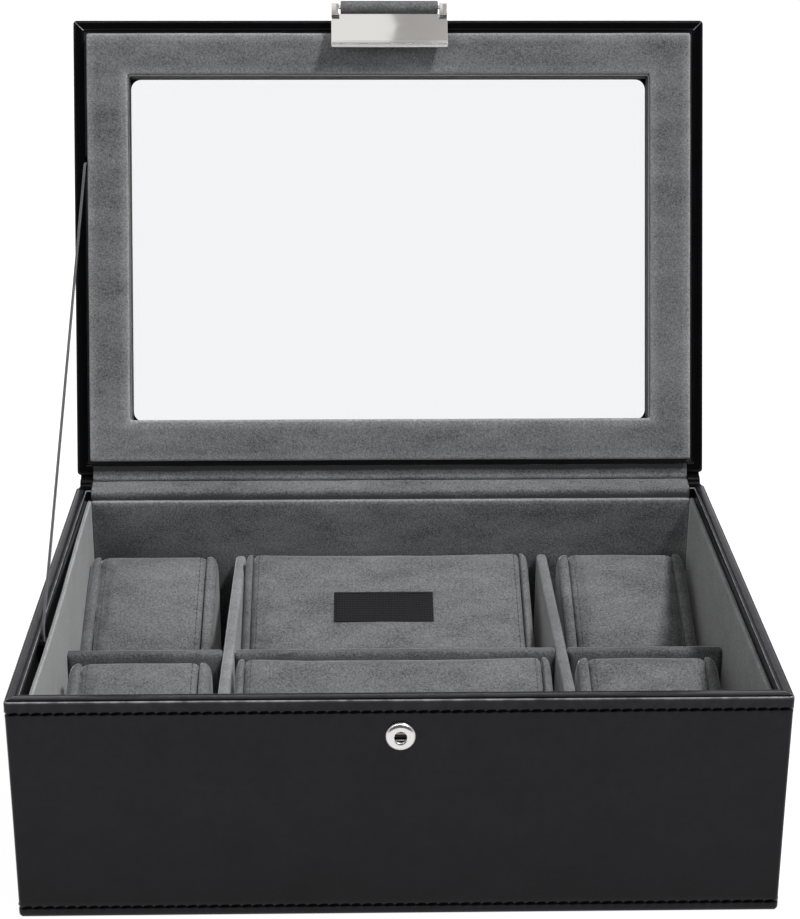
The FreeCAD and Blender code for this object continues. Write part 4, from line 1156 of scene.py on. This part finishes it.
def makeMitres():
    baseLow, baseHigh = nodeBox("base_wrap")
    wide = nodeBox("lid_wrap")[1].x
    for body, toWorld, x, y, z, out, far in (
        ("base", Matrix.Identity(4), baseHigh.x, baseLow.y, baseHigh.z - mitre["sunk"], 1, mitre["to"]),
        ("lid", lidToWorld, wide, lidSize["front"], mitre["lidSunk"], -1, mitre["lidTo"]),
    ):
        shapes = []
        for side in (-1, 1):
            across = Vector((side, 1, 0)).normalized() * mitre["wide"] / 2
            rings = []
            for inset in (mitre["from"], far):
                middle = Vector((side * (x - inset), y + inset, z))
                rings.append([middle - across, middle + Vector((0, 0, out * mitre["high"])), middle + across])
            shapes.append((*loft(rings), [mitre["wornAndLit"]] * sum(len(ring) for ring in rings)))
        points, faces, wornAndLit = joinShapes(*shapes)
        settle(makePiece(body + "Mitres", points, faces, leather, toWorld=toWorld, wornAndLit=wornAndLit), body, "black_leather")


makeLidWrap()
makeLidPanel()
makeMitres()
print("lid dressed")


# Hinge cover: velvet inside and leather outside, each one strip from the base over the hinge to the lid
hingeCover = {
    "velvetBase": ((0.0, -9.0), (0.0, -3.2), (0.2, -1.7), (0.8, -0.65), (1.9, -0.12), (3.2, 0.0), (4.9, 0.06)),
    "velvetFold": ((-2.0, 0.35), (-1.0, 0.62), (-0.1, 0.5), (0.2, 0.3), (0.32, 0.9), (0.62, 1.7)),
    "velvetLid": ((2.6, 0.4), (3.2, 0.32), (4.1, 0.3), (4.9, 0.3), (6.4, 0.3)),
    "neckBase": ((1.2, 0.06), (3.4, 0.08), (4.4, 0.0), (4.85, -0.3)),
    "neckFold": ((-2.1, 0.1), (-1.9, 0.75), (-1.35, 1.35), (-0.6, 1.62), (0.1, 1.7)),
    "neckLid": ((2.6, 0.75), (3.1, 0.36), (4.2, 0.22), (5.6, 0.22)),
    "spineBase": ((5.25, -14.0), (5.3, -2.4), (5.6, -0.9), (6.4, -0.1)),
    "spineFold": ((-0.2, -0.3), (0.6, 0.3), (1.3, 1.1)),
    "spineLid": ((2.45, 1.6), (2.45, 2.6), (2.45, 14.3)),
    "thick": 0.4, "step": 5.0, "waver": 0.14, "waverSize": 9.0, "sideShare": 0.4, "sharp": 60,
    "inset": 0.05, "gap": 0.1, "rimDepth": 0.3,
    # Painted shade on the velvet strip by line point: its drop into the base, the crease at the hinge, and its top
    # under the panel's edge
    "paintedShade": {0: -0.9, 1: -0.8, 2: -0.35, 9: -0.4, 10: -0.9, 11: -0.5, 16: -0.9, 17: -1.3},
}


# Points from the inner edge of the base's back rim, from the hinge's axis, and down the lid
def hingeLine(kind):
    rim, top = nodeBox("lining_back")[1].y, nodeBox("base_wrap")[1].z
    line = [(rim + y, top + z) for y, z in hingeCover[kind + "Base"]]
    line += [(hingePlace.y + y, hingePlace.z + z) for y, z in hingeCover[kind + "Fold"]]
    for along, out in hingeCover[kind + "Lid"]:
        spot = lidToWorld @ Vector((0, -along, out))
        line.append((spot.y, spot.z))
    return [Vector(p) for p in line]


def makeHingeStrip(name, kind, xLow, xHigh, under, material, slot, seed, *nodes):
    line = hingeLine(kind)
    below = []
    for index, spot in enumerate(line):
        along = (line[min(index + 1, len(line) - 1)] - line[max(index - 1, 0)]).normalized()
        below.append(spot + Vector((along.y, -along.x)) * hingeCover["thick"] * under)
    count = max(2, round((xHigh - xLow) / hingeCover["step"]))
    rings = []
    for k in range(count + 1):
        x = xLow + (xHigh - xLow) * k / count
        ring = []
        for spot in line + below[::-1]:
            shift = wobble((x, spot.x * 2, spot.y * 2), hingeCover["waverSize"], hingeCover["waver"], seed)
            ring.append((x, spot.x + shift * hingeCover["sideShare"], spot.y + shift))
        rings.append(ring)
    points, faces = loft(rings)
    # Only the velvet strip carries painted shade
    paintedShade = hingeCover["paintedShade"] if kind == "velvet" else {}
    wornAndLit = [paintedShade.get(k, 0.0) for k in range(len(line))]
    piece = makePiece(name, points, faces, material, wornAndLit=(wornAndLit + wornAndLit[::-1]) * len(rings),
                      sharp=hingeCover["sharp"])
    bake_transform(piece)
    if nodes:
        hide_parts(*nodes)


def makeHingeCover():
    inside, outside = nodeBox("hinge_lining_lid")[1].x - hingeCover["inset"], nodeBox("hinge_spine")[1].x
    neck = inside + hingeCover["gap"]
    makeHingeStrip("velvetHinge", "velvet", -inside, inside, 1, velvet, "grey_velvet", 2.0, "hinge_lining_base",
                   "hinge_lining_lid")
    makeHingeStrip("hingeNeckLeft", "neck", -outside, -neck, 1, leather, "black_leather", 3.0)
    makeHingeStrip("hingeNeckRight", "neck", neck, outside, 1, leather, "black_leather", 4.0)
    makeHingeStrip("hingeSpine", "spine", -outside, outside, -1, leather, "black_leather", 5.0, "hinge_spine",
                   "hinge_leaf")


makeHingeCover()
print("hinge covered")


# Clasp: polished plate with a returned lip and two ears
claspPlate = {"half": 22.8, "top": -3.6, "foot": -18.0, "thick": 1.2, "lip": 1.2, "bead": 0.3, "beadHigh": 1.3,
              "beadSlope": 0.25, "bevel": 0.16, "earWide": 3.0, "earDepth": 1.7, "earFoot": -4.8,
              "earArc": (15, 180, 11)}


# Outline in (y, z) stretched along x, its edges bevelled
def stretched(outline, xLow, xHigh, bevel, segments=3, sharpFrom=35):
    shape = bmesh.new()
    face = shape.faces.new([shape.verts.new((xLow, y, z)) for y, z in outline])
    moved = bmesh.ops.extrude_face_region(shape, geom=[face])
    bmesh.ops.translate(shape, verts=[g for g in moved["geom"] if isinstance(g, bmesh.types.BMVert)],
                        vec=(xHigh - xLow, 0, 0))
    bmesh.ops.recalc_face_normals(shape, faces=shape.faces)
    sharp = [e for e in shape.edges if e.calc_face_angle(0) > math.radians(sharpFrom)]
    bmesh.ops.bevel(shape, geom=sharp, offset=bevel, segments=segments, profile=0.5, affect="EDGES",
                    clamp_overlap=True)
    shape.verts.index_update()
    points = [tuple(v.co) for v in shape.verts]
    faces = [tuple(v.index for v in f.verts) for f in shape.faces]
    shape.free()
    return points, faces, [0.0] * len(points)


def makeClasp():
    c = claspPlate
    half, thick = c["half"], c["thick"] / 2
    side = [(-thick, c["top"]), (thick, c["top"]), (thick, c["foot"] + c["lip"]),
            (thick + c["lip"], c["foot"] + c["lip"]), (thick + c["lip"], c["foot"]), (-thick - c["bead"], c["foot"]),
            (-thick - c["bead"], c["foot"] + c["beadHigh"]), (-thick, c["foot"] + c["beadHigh"] + c["beadSlope"])]
    ear = [(-c["earDepth"], c["earFoot"]), (c["earDepth"], c["earFoot"]), (c["earDepth"], 0.0)]
    ear += cornerArc((0, 0), c["earDepth"], *c["earArc"])
    shapes = [stretched(side, -half, half, c["bevel"])]
    for low, high in ((-half, -half + c["earWide"]), (half - c["earWide"], half)):
        shapes.append(stretched(ear, low, high, c["bevel"]))
    points, faces, _ = joinShapes(*shapes)
    settle(makePiece("claspPlate", points, faces, chrome, toWorld=claspToWorld), "clasp", "polished_metal",
           "clasp_plate")


# Velvet strap: patch on the lid's front, rolled round the clasp's bar
claspStrap = {"half": 19.2, "strap": 1.2, "roll": 2.5, "rollArc": (140, 395, 22), "patch": (4.3, 17.3), "bevel": 0.45,
              "leaves": 1.5, "bulge": (0.9, 0.6), "returns": 2.4, "sharp": 45}


def makeClaspStrap():
    c = claspStrap
    bar = lidToWorld.inverted() @ barPlace
    back, (near, far) = lidSize["front"], c["patch"]
    front = back - c["strap"]
    outline = [(back, far), (front, far), (front, near + c["leaves"]), (front - c["bulge"][0], near - c["bulge"][1])]
    outline += cornerArc((bar.y, bar.z), c["roll"], *c["rollArc"])
    outline += [(back, near - c["returns"])]
    points, faces, _ = stretched(outline, -c["half"], c["half"], c["bevel"])
    settle(makePiece("velvetClaspStrap", points, faces, velvet, toWorld=lidToWorld, sharp=c["sharp"]), "lid",
           "grey_velvet", "clasp_strap")


# Snap socket: domed ring turned round its own axis
snapSocket = {"sides": 56, "section": ((1.95, 0.02), (1.95, 1.05), (2.1, 1.3), (2.4, 1.44), (2.9, 1.54),
                                       (3.5, 1.55), (4.0, 1.42), (4.45, 1.12), (4.8, 0.72), (4.97, 0.34),
                                       (5.0, 0.02))}


def makeSnap():
    low, high = nodeBox("snap_socket")
    middle = (low + high) / 2
    rings = []
    for k in range(snapSocket["sides"]):
        turn = 2 * math.pi * k / snapSocket["sides"]
        rings.append([(middle.x + r * math.cos(turn), high.y - h, middle.z + r * math.sin(turn))
                      for r, h in snapSocket["section"]])
    points, faces = loft(rings, endless=True)
    settle(makePiece("snapRing", points, faces, dulled), "base", "polished_metal", "snap_socket")


makeClasp()
makeClaspStrap()
makeSnap()
print("clasp and snap fitted")
